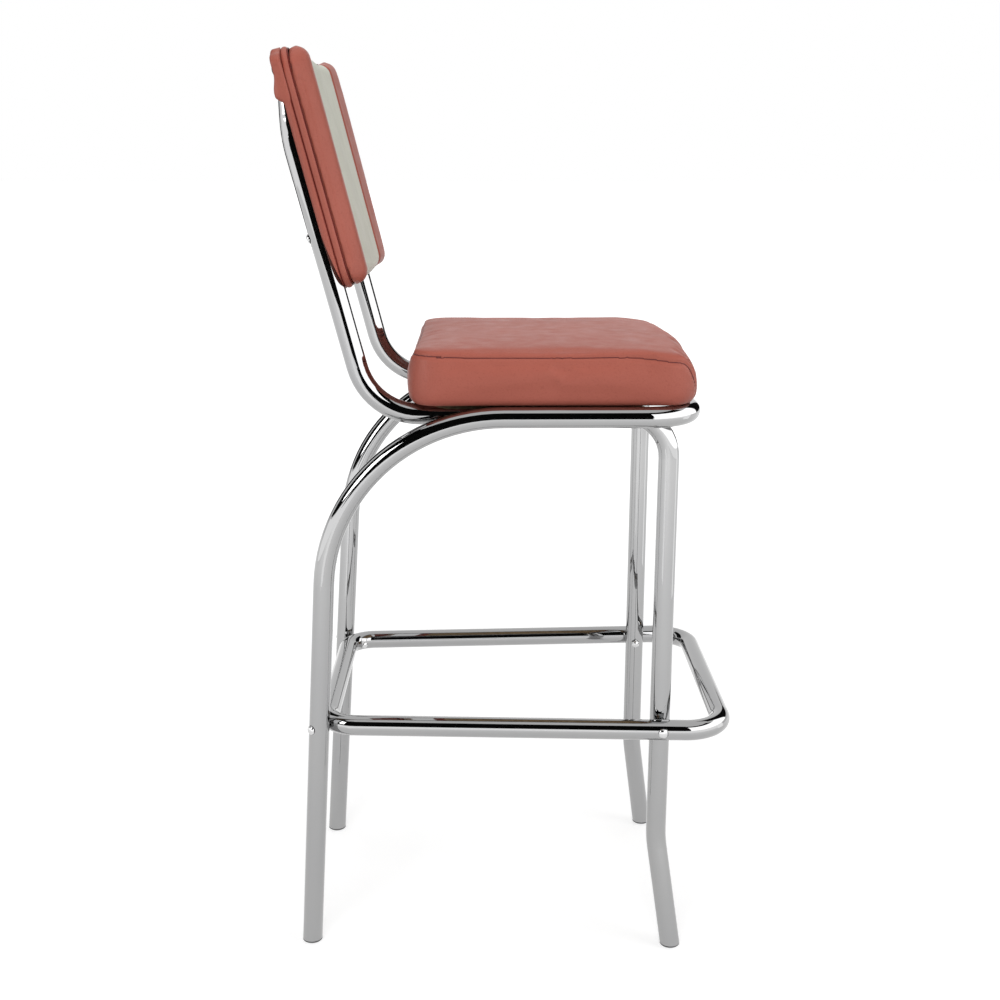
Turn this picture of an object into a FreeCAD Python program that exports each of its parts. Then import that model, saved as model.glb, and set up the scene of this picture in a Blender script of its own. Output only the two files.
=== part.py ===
import FreeCAD, Part
import Sketcher
import math
import os

Vector = FreeCAD.Vector
Rotation = FreeCAD.Rotation
Placement = FreeCAD.Placement

# Diner counter stool, bar height, with a padded back and a footrest ring.
# Frame: +Z up, the sitter faces -Y, origin on the floor under the middle of the stool.
# All sizes in millimetres and degrees.

doc = FreeCAD.newDocument("diner_counter_stool")
sheet = doc.addObject("Spreadsheet::Sheet", "Sizes")

SIZES = {
    # chrome tube
    "tube_od": 25.4,
    "tube_wall": 1.5,
    "tube_gap": 0.3,
    # side frames: front leg, seat rail and back post
    "side_frame_x": 155.0,
    "rail_height": 697.0,
    "front_bend_y": -185.3,
    "front_bend_radius": 53.5,
    "front_leg_lean": 0.26,
    "knee_x": 152.0,
    "knee_height": 143.5,
    "knee_radius": 120.0,
    "foot_kick": 7.96,
    "front_foot_x": 172.8,
    "post_bend_y": 171.7,
    "post_bend_radius": 75.5,
    "post_recline": 14.35,
    "post_splay": 0.7,
    "post_round_end": 155.0,
    "post_flat_start": 240.0,
    "post_flat_end": 256.0,
    "post_flat_width": 31.0,
    "post_flat_thickness": 7.2,
    # rear frame: rear legs, arcs, outer rails and front loop
    "rear_arc_y": 218.3,
    "rear_arc_radius": 218.7,
    "rear_leg_lean": 3.63,
    "rear_foot_x": 155.8,
    "front_loop_y": -212.6,
    "front_loop_radius": 57.0,
    # footrest ring
    "ring_height": 302.4,
    "ring_rear_y": 235.2,
    "ring_rear_x": 158.5,
    "ring_front_y": -262.2,
    "ring_rear_radius": 38.0,
    "ring_front_radius": 48.0,
    # feet
    "glide_radius": 12.2,
    "glide_height": 3.4,
    "glide_flat_radius": 8.0,
    "glide_pin_radius": 2.0,
    "glide_pin_length": 9.0,
    "bush_radius": 12.0,
    "bush_lip": 1.4,
    "bush_length": 18.0,
    # seat
    "seat_gap": 0.3,
    "seat_board_thickness": 12.0,
    "seat_overhang": 32.0,
    "seat_board_overhang": 13.0,
    "seat_front_y": -216.2,
    "seat_rear_y": 129.3,
    "seat_height": 66.5,
    "seat_corner_radius": 36.0,
    "seat_bottom_round": 13.0,
    "seat_side_height": 48.0,
    "seat_side_draw": 8.0,
    "seat_crown": 6.0,
    "waterfall_run": 117.0,
    "waterfall_drop": 17.0,
    "waterfall_nose": 22.0,
    # back, in the plane of the posts: height along the post, depth forward of its centre
    "back_level": 850.0,
    "back_overhang": 21.5,
    "back_bottom": -9.0,
    "back_top": 265.0,
    "back_top_dip": 10.0,
    "back_top_radius": 36.0,
    "back_bottom_radius": 28.0,
    "back_board_depth": 12.9,
    "back_board_thickness": 7.6,
    "back_band_inset": 0.8,
    "back_band_wall": 3.0,
    "front_pad_round": 13.0,
    "front_pad_side": 6.0,
    "roll_depth": 45.0,
    "roll_centre_inset": 24.0,
    "stripe_half_width": 103.0,
    "stripe_edge_depth": 35.0,
    "stripe_depth": 37.5,
    "rear_edge_depth": 2.1,
    "rear_crown_depth": -4.0,
    "rear_pad_round": 7.0,
    "rear_taper_start": 74.0,
    "rear_taper_end": 4.0,
    "soft_gap": 0.3,
    # fasteners
    "screw_radius": 3.0,
    "hole_radius": 3.3,
    "head_radius": 5.6,
    "head_height": 3.0,
    "top_screw_radius": 2.5,
    "top_head_radius": 7.0,
    "top_head_height": 3.2,
    "top_screw_level": 244.6,
    "post_bolt_level": 57.0,
    "seat_slack": 0.1,
    "tee_barrel_radius": 4.2,
    "tee_barrel_length": 6.5,
    "tee_flange_radius": 8.5,
    "tee_flange": 1.2,
    "thread_gap": 0.15,
    "seat_screw_front_y": -129.2,
    "seat_screw_rear_y": 80.8,
    "rail_screw_front_y": -99.2,
    "rail_screw_rear_y": -29.2,
    "rail_screw_reach": 8.0,
    "footrest_head_radius": 6.0,
    "footrest_head_height": 3.2,
    "footrest_flat_radius": 6.9,
    "footrest_flat_depth": 0.9,
    "nut_flats": 10.0,
    "nut_height": 4.6,
    "nut_dome": 3.2,
}

for row, (alias, value) in enumerate(SIZES.items(), start=1):
    sheet.set("A%d" % row, alias)
    sheet.set("B%d" % row, str(value))
    sheet.setAlias("B%d" % row, alias)
doc.recompute()


def size(alias):
    """Read one driving dimension from the sheet."""
    return float(sheet.get(alias))


X_AXIS = Vector(1, 0, 0)
Y_AXIS = Vector(0, 1, 0)
Z_AXIS = Vector(0, 0, 1)

# Values that follow from the driving dimensions
tube_r = size("tube_od") / 2
bore_r = tube_r - size("tube_wall")
side_x = size("side_frame_x")
rail_z = size("rail_height")
rear_rail_x = side_x + size("tube_od") + size("tube_gap")
rail_top = rail_z + tube_r
seat_half = side_x + size("seat_overhang")
board_inset = size("seat_overhang") - size("seat_board_overhang")
back_half = side_x + size("back_overhang")
leg_cut_z = size("glide_height") + size("bush_lip")
seat_z = rail_top + size("seat_gap")
recline = math.radians(size("post_recline"))
post_y = size("post_bend_y") + math.tan(recline) * (size("back_level") - rail_z)
board_front = size("back_board_depth") + size("back_board_thickness")

# The back is built in the plane of the posts: local z runs up the post, local y rearward
back_place = Placement(Vector(0, post_y, size("back_level")), Rotation(X_AXIS, -size("post_recline")))


def bind(obj, **expressions):
    """Bind properties of an object to the sheet."""
    for prop, expression in expressions.items():
        obj.setExpression(prop, expression)
    return obj


def cell(alias):
    return "Sizes." + alias


def toward(direction):
    """Rotation that turns local z to the given direction."""
    return Rotation(Z_AXIS, direction)


def cylinder(name, radius, length, start, direction):
    """Cylinder whose radius and height are sheet expressions."""
    obj = doc.addObject("Part::Cylinder", name)
    bind(obj, Radius=radius, Height=length)
    obj.Placement = Placement(start, toward(direction))
    return obj


def drill(name, radius, start, direction, length):
    """Cutting tool of a fixed reach and a radius from the sheet."""
    obj = doc.addObject("Part::Cylinder", name)
    bind(obj, Radius=radius)
    obj.Height = length
    obj.Placement = Placement(start, toward(direction))
    return obj


def fuse(name, shapes):
    obj = doc.addObject("Part::MultiFuse", name)
    obj.Shapes = shapes
    obj.Refine = True
    return obj


def cut(name, base, tools):
    obj = doc.addObject("Part::Cut", name)
    obj.Base = base
    obj.Tool = tools[0] if len(tools) == 1 else fuse(name + "_tools", tools)
    return obj


def group(name, members):
    obj = doc.addObject("Part::Compound", name)
    obj.Links = members
    return obj


def mirrored(name, source):
    """The other hand of a piece, mirrored across the stool's middle plane."""
    obj = doc.addObject("Part::Mirroring", name)
    obj.Source = source
    obj.Normal = X_AXIS
    obj.Base = Vector(0, 0, 0)
    return obj


NODES = []


def node(obj, label):
    """Name a finished piece: the label is its node and file name."""
    obj.Label = label
    NODES.append(obj)
    return obj


def bent_wire(points, radii, closed=False):
    """Straight runs joined by tangent arcs: one radius for each inner corner."""
    count = len(points)
    corners = range(count) if closed else range(1, count - 1)
    edges = []
    joints = {}
    for index, corner in enumerate(corners):
        here = points[corner]
        back = (points[corner - 1] - here).normalize()
        ahead = (points[(corner + 1) % count] - here).normalize()
        half_angle = back.getAngle(ahead) / 2
        radius = radii[index]
        reach = radius / math.tan(half_angle)
        middle = (back + ahead).normalize()
        centre = here + middle * (radius / math.sin(half_angle))
        joints[corner] = (here + back * reach, centre - middle * radius, here + ahead * reach)
    start = joints[count - 1][2] if closed else points[0]
    for corner in corners:
        into, top, out = joints[corner]
        edges.append(Part.LineSegment(start, into).toShape())
        edges.append(Part.Arc(into, top, out).toShape())
        start = out
    if not closed:
        edges.append(Part.LineSegment(start, points[-1]).toShape())
    return Part.Wire(edges)


def swept(name, path, radius):
    """Round bar of the given radius along a path."""
    edge = path.Shape.Edges[0]
    profile = doc.addObject("Part::Circle", name + "_profile")
    bind(profile, Radius=radius)
    profile.Placement = Placement(edge.valueAt(edge.FirstParameter), toward(edge.tangentAt(edge.FirstParameter)))
    sweep = doc.addObject("Part::Sweep", name)
    sweep.Sections = [profile]
    sweep.Spine = (path, ["Edge%d" % (i + 1) for i in range(len(path.Shape.Edges))])
    sweep.Solid = True
    sweep.Frenet = False
    return sweep


def tube_parts(name, wire):
    """Outer bar and bore bar of a bent tube."""
    path = doc.addObject("Part::Feature", name + "_path")
    path.Shape = wire
    outer = swept(name + "_outer", path, cell("tube_od") + " / 2")
    bore = swept(name + "_bore", path, cell("tube_od") + " / 2 - " + cell("tube_wall"))
    return outer, bore


def floor_cut(name, foot):
    """Block that trims a tube end level, just above its glide."""
    block = doc.addObject("Part::Box", name)
    side = 6 * tube_r
    block.Length = side
    block.Width = side
    block.Height = side
    block.Placement = Placement(Vector(foot.x - side / 2, foot.y - side / 2, leg_cut_z - side), Rotation())
    return block


def domed_screw(name, place, shank_length, shank, head, dome):
    """Button head screw: head outward along local -z, shank along local +z."""
    rod = doc.addObject("Part::Cylinder", name + "_shank")
    bind(rod, Radius=shank)
    rod.Height = shank_length
    cap = doc.addObject("Part::Ellipsoid", name + "_head")
    bind(cap, Radius1=dome, Radius2=head)
    cap.Angle1 = -90
    cap.Angle2 = 0
    screw = fuse(name, [rod, cap])
    screw.Placement = place
    return screw


def cap_nut(name, place):
    """Hexagon nut with a domed closed end, seat at local z = 0, dome along +z."""
    bolt = cell("screw_radius") + " + " + cell("thread_gap")
    prism = doc.addObject("Part::Prism", name + "_hexagon")
    prism.Polygon = 6
    bind(prism, Circumradius=cell("nut_flats") + " / 2 / cos(30)", Height=cell("nut_height"))
    cap = doc.addObject("Part::Ellipsoid", name + "_dome")
    bind(cap, Radius1=cell("nut_dome"), Radius2=cell("nut_flats") + " / 2 - 0.2")
    cap.Angle1 = 0
    cap.Angle2 = 90
    cap.Placement = Placement(Vector(0, 0, size("nut_height")), Rotation())
    body = fuse(name + "_solid", [prism, cap])
    thread = doc.addObject("Part::Cylinder", name + "_thread")
    bind(thread, Radius=bolt, Height=cell("nut_height"))
    nut = cut(name, body, [thread])
    nut.Placement = place
    return nut


def tee_nut(name, place, screw):
    """Flanged barrel nut: flange on top at local z = 0, barrel down local -z."""
    barrel = doc.addObject("Part::Cylinder", name + "_barrel")
    bind(barrel, Radius=cell("tee_barrel_radius"), Height=cell("tee_barrel_length"))
    barrel.Placement = Placement(Vector(0, 0, -size("tee_barrel_length")), Rotation())
    flange = doc.addObject("Part::Cylinder", name + "_flange")
    bind(flange, Radius=cell("tee_flange_radius"), Height=cell("tee_flange"))
    solid = fuse(name + "_solid", [barrel, flange])
    thread = doc.addObject("Part::Cylinder", name + "_thread")
    bind(thread, Radius=screw + " + " + cell("thread_gap"))
    thread.Height = 100
    thread.Placement = Placement(Vector(0, 0, -50), Rotation())
    nut = cut(name, solid, [thread])
    nut.Placement = place
    return nut


# Side frames: foot, knee, front leg, seat rail and reclined post in one bent tube

knee_y = size("front_bend_y") + math.tan(math.radians(size("front_leg_lean"))) * (rail_z - size("knee_height"))
knee = Vector(size("knee_x"), knee_y, size("knee_height"))
foot_y = knee_y - math.tan(math.radians(size("foot_kick"))) * size("knee_height")
front_foot = Vector(size("front_foot_x"), foot_y, 0)
front_corner = Vector(side_x, size("front_bend_y"), rail_z)
post_corner = Vector(side_x, size("post_bend_y"), rail_z)
post_run = Vector(math.tan(math.radians(size("post_splay"))), math.tan(recline), 1)
post_turn = Rotation(X_AXIS, Y_AXIS, post_run.normalize(), "ZXY")
forward = back_place.Rotation.multVec(Y_AXIS) * -1


def post_point(level):
    """Point on the post's centre line at a height along the back."""
    spot = back_place.multVec(Vector(0, 0, level))
    return Vector(side_x + math.tan(math.radians(size("post_splay"))) * (spot.z - rail_z), spot.y, spot.z)


def below_floor(foot, above):
    """Run a leg's centre line on past the floor, to be trimmed level."""
    return foot + (foot - above).normalize() * (2 * tube_r)


side_outer, side_bore = tube_parts(
    "side_frame",
    bent_wire(
        [below_floor(front_foot, knee), knee, front_corner, post_corner, post_point(size("post_round_end"))],
        [size("knee_radius"), size("front_bend_radius"), size("post_bend_radius")],
    ),
)

PRESS_STEPS = 5
PRESS_POWER = 1.7


def pressed_post(name, offset):
    """Post top pressed flat against the board: ellipses whose front edge stays on one line."""
    sections = []
    stations = []
    for step in range(PRESS_STEPS + 1):
        way = step / PRESS_STEPS
        level = size("post_round_end") + (size("post_flat_start") - size("post_round_end")) * way
        stations.append((level, way ** PRESS_POWER))
    stations.append((size("post_flat_end") + (max(offset, 0) and 1), 1.0))
    for index, (level, amount) in enumerate(stations):
        oval = doc.addObject("Part::Ellipse", "%s_oval%d" % (name, index))
        shift = (size("tube_od") - size("post_flat_thickness")) / 2 * amount
        bind(
            oval,
            MajorRadius="Sizes.tube_od / 2 + (Sizes.post_flat_width - Sizes.tube_od) / 2 * %.6f + %.4f" % (amount, offset),
            MinorRadius="Sizes.tube_od / 2 - (Sizes.tube_od - Sizes.post_flat_thickness) / 2 * %.6f + %.4f" % (amount, offset),
        )
        oval.Placement = Placement(post_point(level) + forward * shift, post_turn)
        sections.append(oval)
    loft = doc.addObject("Part::Loft", name)
    loft.Sections = sections
    loft.Solid = True
    loft.Ruled = False
    return loft


side_solid = fuse("side_frame_solid", [side_outer, pressed_post("side_frame_press", 0)])
side_hollow = fuse("side_frame_hollow", [side_bore, pressed_post("side_frame_press_bore", -size("tube_wall"))])

ring_z = size("ring_height")
leg_way = (ring_z - size("knee_height")) / (rail_z - size("knee_height"))
leg_at_ring = knee + (front_corner - knee) * leg_way
ring_station = leg_at_ring + X_AXIS * (size("tube_od") + size("tube_gap"))
seat_screw_spots = [Vector(side_x, size("seat_screw_front_y"), rail_z), Vector(side_x, size("seat_screw_rear_y"), rail_z)]
rail_screw_spots = [Vector(side_x, size("rail_screw_front_y"), rail_z), Vector(side_x, size("rail_screw_rear_y"), rail_z)]
post_bolt_spot = post_point(size("post_bolt_level"))
top_screw_spot = post_point(size("top_screw_level"))
hole = cell("hole_radius")
reach = 2 * size("tube_od")

side_holes = [
    drill("side_hole_seat_front", hole, seat_screw_spots[0] - Z_AXIS * tube_r * 1.5, Z_AXIS, 3 * tube_r),
    drill("side_hole_seat_rear", hole, seat_screw_spots[1] - Z_AXIS * tube_r * 1.5, Z_AXIS, 3 * tube_r),
    drill("side_hole_rail_front", hole, rail_screw_spots[0] - X_AXIS * tube_r * 1.5, X_AXIS, 3 * tube_r),
    drill("side_hole_rail_rear", hole, rail_screw_spots[1] - X_AXIS * tube_r * 1.5, X_AXIS, 3 * tube_r),
    drill("side_hole_footrest", hole, leg_at_ring - X_AXIS * tube_r * 1.5, X_AXIS, 3 * tube_r),
    drill("side_hole_post", hole, post_bolt_spot - forward * tube_r * 1.5, forward, 3 * tube_r),
    drill("side_hole_top", hole, top_screw_spot - forward * tube_r * 1.5, forward, 4 * tube_r),
]
side_frame_left = cut("side_frame_left", side_solid, [side_hollow, floor_cut("side_floor", front_foot)] + side_holes)
node(side_frame_left, "side_frame_left")
node(mirrored("side_frame_right", side_frame_left), "side_frame_right")

# Rear frame: both rear legs, the two arcs, the outer seat rails and the front loop in one bent tube

rear_corner = Vector(rear_rail_x, size("rear_arc_y"), rail_z)
rear_foot_y = size("rear_arc_y") + math.tan(math.radians(size("rear_leg_lean"))) * rail_z
rear_foot = Vector(size("rear_foot_x"), rear_foot_y, 0)
loop_corner = Vector(rear_rail_x, size("front_loop_y"), rail_z)


def other_side(point):
    return Vector(-point.x, point.y, point.z)


rear_half = [below_floor(rear_foot, rear_corner), rear_corner, loop_corner]
rear_radii = [size("rear_arc_radius"), size("front_loop_radius")]
rear_outer, rear_bore = tube_parts(
    "rear_frame",
    bent_wire(rear_half + [other_side(point) for point in reversed(rear_half)], rear_radii + rear_radii[::-1]),
)
rear_way = ring_z / rail_z
rear_leg_at_ring = rear_foot + (rear_corner - rear_foot) * rear_way

# Footrest ring: sides run outside the front legs and tuck inside the rear legs

ring_slope = (ring_station.x - size("ring_rear_x")) / (size("ring_rear_y") - ring_station.y)
ring_front_x = ring_station.x + ring_slope * (ring_station.y - size("ring_front_y"))
ring_rear_corner = Vector(size("ring_rear_x"), size("ring_rear_y"), ring_z)
ring_front_corner = Vector(ring_front_x, size("ring_front_y"), ring_z)
ring_points = [ring_rear_corner, ring_front_corner, other_side(ring_front_corner), other_side(ring_rear_corner)]
ring_radii = [size("ring_rear_radius"), size("ring_front_radius"), size("ring_front_radius"), size("ring_rear_radius")]
ring_wire = bent_wire(ring_points, ring_radii, closed=True)
ring_outer, ring_bore = tube_parts("footrest_ring", ring_wire)

rear_side_run = (ring_front_corner - ring_rear_corner).normalize()
rear_bisector = (rear_side_run - X_AXIS).normalize()
rear_half_angle = rear_side_run.getAngle(X_AXIS * -1) / 2
rear_arc_centre = ring_rear_corner + rear_bisector * (size("ring_rear_radius") / math.sin(rear_half_angle))
outward = (rear_leg_at_ring - rear_arc_centre).normalize()
ring_at_leg = rear_arc_centre + outward * size("ring_rear_radius")

rear_holes_left = [
    drill("rear_hole_footrest", hole, rear_leg_at_ring - outward * tube_r * 1.5, outward, 3 * tube_r),
    drill("rear_hole_rail_front", cell("screw_radius") + " + " + cell("thread_gap"),
          Vector(rear_rail_x - tube_r - 1, size("rail_screw_front_y"), rail_z), X_AXIS, tube_r),
    drill("rear_hole_rail_rear", cell("screw_radius") + " + " + cell("thread_gap"),
          Vector(rear_rail_x - tube_r - 1, size("rail_screw_rear_y"), rail_z), X_AXIS, tube_r),
    floor_cut("rear_floor", rear_foot),
]
rear_tools = rear_holes_left + [mirrored(tool.Name + "_other", tool) for tool in rear_holes_left]
node(cut("rear_frame", rear_outer, [rear_bore] + rear_tools), "rear_frame")

dimple_start = ring_station + X_AXIS * (tube_r - size("footrest_flat_depth"))
ring_tools_left = [
    drill("ring_hole_front", hole, ring_station - X_AXIS * tube_r * 1.5, X_AXIS, 3 * tube_r),
    drill("ring_dimple", cell("footrest_flat_radius"), dimple_start, X_AXIS, tube_r),
    drill("ring_hole_rear", hole, ring_at_leg - outward * tube_r * 1.5, outward, 3 * tube_r),
]
ring_tools = ring_tools_left + [mirrored(tool.Name + "_other", tool) for tool in ring_tools_left]
node(cut("footrest_ring", ring_outer, [ring_bore] + ring_tools), "footrest_ring")

# Feet: a dark bush in each tube end carries a chrome domed glide on a pin


def bush_and_glide(place_name, foot, above):
    """Bush plugged into a leg end, lip below it, and the glide pinned up into the bush."""
    axis = (above - foot).normalize()
    start = foot + axis * ((leg_cut_z - tube_r) / axis.z)
    plug = drill("plug_" + place_name, cell("bush_radius"), start, axis, size("bush_length") + tube_r)
    bind(plug, Radius="Sizes.tube_od / 2 - Sizes.tube_wall - Sizes.thread_gap")
    trimmed = cut("plug_trimmed_" + place_name, plug, [floor_cut("plug_floor_" + place_name, foot)])
    centre = foot + axis * (leg_cut_z / axis.z)
    ground = Vector(centre.x, centre.y, 0)
    lip = cylinder("lip_" + place_name, "Sizes.tube_od / 2", cell("bush_lip"), ground + Z_AXIS * size("glide_height"), Z_AXIS)
    solid = fuse("bush_solid_" + place_name, [trimmed, lip])
    pin_hole = drill("pin_hole_" + place_name, cell("glide_pin_radius") + " + " + cell("thread_gap"), ground, Z_AXIS,
                     size("glide_height") + size("glide_pin_length") + 1)
    node(cut("glide_bush_" + place_name, solid, [pin_hole]), "glide_bush_" + place_name)
    disc = cylinder("disc_" + place_name, cell("glide_radius"), cell("glide_height"), ground, Z_AXIS)
    bowl = doc.addObject("Part::Ellipsoid", "bowl_" + place_name)
    bind(bowl, Radius1="Sizes.glide_height / sqrt(1 - (Sizes.glide_flat_radius / Sizes.glide_radius) ^ 2)",
         Radius2=cell("glide_radius"))
    bowl.Placement = Placement(ground + Z_AXIS * size("glide_height"), Rotation())
    dome = doc.addObject("Part::MultiCommon", "dome_" + place_name)
    dome.Shapes = [disc, bowl]
    pin = cylinder("pin_" + place_name, cell("glide_pin_radius"), "Sizes.glide_height / 2 + Sizes.glide_pin_length",
                   ground + Z_AXIS * (size("glide_height") / 2), Z_AXIS)
    node(fuse("glide_" + place_name, [dome, pin]), "glide_" + place_name)


bush_and_glide("front_left", front_foot, knee)
bush_and_glide("front_right", other_side(front_foot), other_side(knee))
bush_and_glide("rear_left", rear_foot, rear_corner)
bush_and_glide("rear_right", other_side(rear_foot), other_side(rear_corner))

# Seat board: plywood with rounded corners, resting on the side frames' rails


def rounded_plate(name, half_width, depth, radius, thickness):
    """Plate from a constrained sketch: y from 0 to depth, centred in x."""
    body = doc.addObject("PartDesign::Body", name)
    sketch = body.newObject("Sketcher::SketchObject", name + "_outline")
    plane = [feature for feature in body.Origin.OriginFeatures if feature.Role == "XY_Plane"][0]
    sketch.AttachmentSupport = [(plane, "")]
    sketch.MapMode = "FlatFace"
    wide = seat_half - board_inset
    deep = size("seat_rear_y") - size("seat_front_y") - 2 * board_inset
    turn = size("seat_corner_radius")
    corners = [(wide - turn, turn, -90), (wide - turn, deep - turn, 0),
               (turn - wide, deep - turn, 90), (turn - wide, turn, 180)]
    for index, (cx, cy, start) in enumerate(corners):
        begin = math.radians(start)
        end = math.radians(start + 90)
        circle = Part.Circle(Vector(cx, cy, 0), Z_AXIS, turn)
        sketch.addGeometry(Part.ArcOfCircle(circle, begin, end), False)
        nx, ny, _ = corners[(index + 1) % 4]
        a = Vector(cx + turn * math.cos(end), cy + turn * math.sin(end), 0)
        b = Vector(nx + turn * math.cos(end), ny + turn * math.sin(end), 0)
        sketch.addGeometry(Part.LineSegment(a, b), False)
    for index in range(8):
        sketch.addConstraint(Sketcher.Constraint("Tangent", index, 2, (index + 1) % 8, 1))
    for index in (1, 5):
        sketch.addConstraint(Sketcher.Constraint("Vertical", index))
    for index in (3, 7):
        sketch.addConstraint(Sketcher.Constraint("Horizontal", index))
    for index in (2, 4, 6):
        sketch.addConstraint(Sketcher.Constraint("Equal", 0, index))
    named = {
        "corner": (Sketcher.Constraint("Radius", 0, turn), radius),
        "right": (Sketcher.Constraint("DistanceX", -1, 1, 1, 1, wide), half_width),
        "left": (Sketcher.Constraint("DistanceX", 5, 1, -1, 1, wide), half_width),
        "depth": (Sketcher.Constraint("DistanceY", -1, 1, 3, 1, deep), depth),
    }
    sketch.addConstraint(Sketcher.Constraint("PointOnObject", 7, 1, -1))
    for label, (constraint, expression) in named.items():
        index = sketch.addConstraint(constraint)
        sketch.renameConstraint(index, label)
        sketch.setExpression("Constraints." + label, expression)
    pad = body.newObject("PartDesign::Pad", name + "_pad")
    pad.Profile = sketch
    bind(pad, Length=thickness)
    return body


plate = rounded_plate(
    "seat_plate",
    "Sizes.side_frame_x + Sizes.seat_board_overhang",
    "Sizes.seat_rear_y - Sizes.seat_front_y - 2 * (Sizes.seat_overhang - Sizes.seat_board_overhang)",
    cell("seat_corner_radius"),
    cell("seat_board_thickness"),
)
plate.Placement = Placement(Vector(0, size("seat_front_y") + board_inset, seat_z), Rotation())
board_top = seat_z + size("seat_board_thickness")
barrel_hole = cell("tee_barrel_radius") + " + " + cell("thread_gap")
board_holes = []
for index, spot in enumerate(seat_screw_spots + [other_side(spot) for spot in seat_screw_spots]):
    board_holes.append(drill("board_hole%d" % index, barrel_hole, Vector(spot.x, spot.y, seat_z - 1), Z_AXIS, 20))
node(cut("seat_board", plate, board_holes), "seat_board")


# Seat cushion: foam in vinyl, sides drawn in to the seam, crowned top and waterfall front


def feature(name, shape):
    """A form that no single primitive gives, kept as one document object."""
    obj = doc.addObject("Part::Feature", name)
    obj.Shape = shape
    return obj


def chain(points):
    """Wire of straight lines and three-point arcs: each entry is (end,) or (through, end)."""
    edges = []
    here = points[0][0]
    for entry in points[1:]:
        if len(entry) == 1:
            edges.append(Part.LineSegment(here, entry[0]).toShape())
        else:
            edges.append(Part.Arc(here, entry[0], entry[1]).toShape())
        here = entry[-1]
    return Part.Wire(edges)


def rounded_outline(inset, z):
    """Seat outline drawn in by an inset, at a height."""
    x = seat_half - inset
    y0 = size("seat_front_y") + inset
    y1 = size("seat_rear_y") - inset
    r = max(size("seat_corner_radius") - inset, 4)
    k = r * (1 - math.sqrt(0.5))
    return chain([
        (Vector(-x + r, y0, z),),
        (Vector(x - r, y0, z),),
        (Vector(x - k, y0 + k, z), Vector(x, y0 + r, z)),
        (Vector(x, y1 - r, z),),
        (Vector(x - k, y1 - k, z), Vector(x - r, y1, z)),
        (Vector(-x + r, y1, z),),
        (Vector(-x + k, y1 - k, z), Vector(-x, y1 - r, z)),
        (Vector(-x, y0 + r, z),),
        (Vector(-x + k, y0 + k, z), Vector(-x + r, y0, z)),
    ])


def quarter(radius, steps):
    """Inset and rise along a quarter round, from its inner edge to its outer side."""
    for step in range(steps + 1):
        angle = math.pi / 2 * step / steps
        yield radius * (1 - math.sin(angle)), radius * (1 - math.cos(angle))


seat_sections = []
for inset, rise in quarter(size("seat_bottom_round"), 3):
    seat_sections.append(rounded_outline(inset, seat_z + rise))
DRAW_STEPS = 4
side_low = seat_z + size("seat_bottom_round")
for step in range(1, DRAW_STEPS + 1):
    way = step / DRAW_STEPS
    seat_sections.append(rounded_outline(size("seat_side_draw") * way ** 2, side_low + size("seat_side_height") * way))
seat_sections.append(rounded_outline(size("seat_side_draw") * 1.8, seat_z + size("seat_height")))
seat_body = Part.makeLoft(seat_sections, True, False)

seat_top = seat_z + size("seat_height")
wide = seat_half + 5
crown_face = Part.Face(chain([
    (Vector(-wide, size("seat_front_y") - 5, seat_z - 5),),
    (Vector(wide, size("seat_front_y") - 5, seat_z - 5),),
    (Vector(wide, size("seat_front_y") - 5, seat_top - size("seat_crown")),),
    (Vector(0, size("seat_front_y") - 5, seat_top), Vector(-wide, size("seat_front_y") - 5, seat_top - size("seat_crown"))),
    (Vector(-wide, size("seat_front_y") - 5, seat_z - 5),),
]))
crown_prism = crown_face.extrude(Y_AXIS * (size("seat_rear_y") - size("seat_front_y") + 10))
nose = size("waterfall_nose")
fall_y = size("seat_front_y") + size("waterfall_run")
fall_edge = Vector(-wide, size("seat_front_y") + nose, seat_top - size("waterfall_drop"))
fall_face = Part.Face(chain([
    (Vector(-wide, size("seat_rear_y") + 5, seat_z - 5),),
    (Vector(-wide, size("seat_rear_y") + 5, seat_top + 1),),
    (Vector(-wide, fall_y, seat_top + 1),),
    (Vector(-wide, (fall_y + fall_edge.y) / 2, seat_top - size("waterfall_drop") * 0.3), fall_edge),
    (Vector(-wide, size("seat_front_y") + nose * 0.25, fall_edge.z - nose * 0.62), Vector(-wide, size("seat_front_y"), seat_z + 12)),
    (Vector(-wide, size("seat_front_y"), seat_z - 5),),
    (Vector(-wide, size("seat_rear_y") + 5, seat_z - 5),),
]))
fall_prism = fall_face.extrude(X_AXIS * (2 * wide))
seat_form = feature("seat_form", seat_body.common(crown_prism).common(fall_prism))

gap = size("soft_gap")
pocket_wire = rounded_outline(board_inset - gap, seat_z - 1)
pocket_height = size("seat_board_thickness") + 1 + gap
seat_pocket = feature("seat_pocket", Part.Face(pocket_wire).extrude(Z_AXIS * pocket_height))
seat_tools = [seat_pocket]
for index, spot in enumerate(seat_screw_spots + [other_side(spot) for spot in seat_screw_spots]):
    seat_tools.append(drill("seat_recess%d" % index, "Sizes.tee_flange_radius + Sizes.soft_gap * 2",
                            Vector(spot.x, spot.y, board_top - 1), Z_AXIS, 1 + size("tee_flange") + 1.5))
node(cut("seat_cushion", seat_form, seat_tools), "seat_cushion")

# Seat screws come up through the rails into tee nuts on the board

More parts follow.
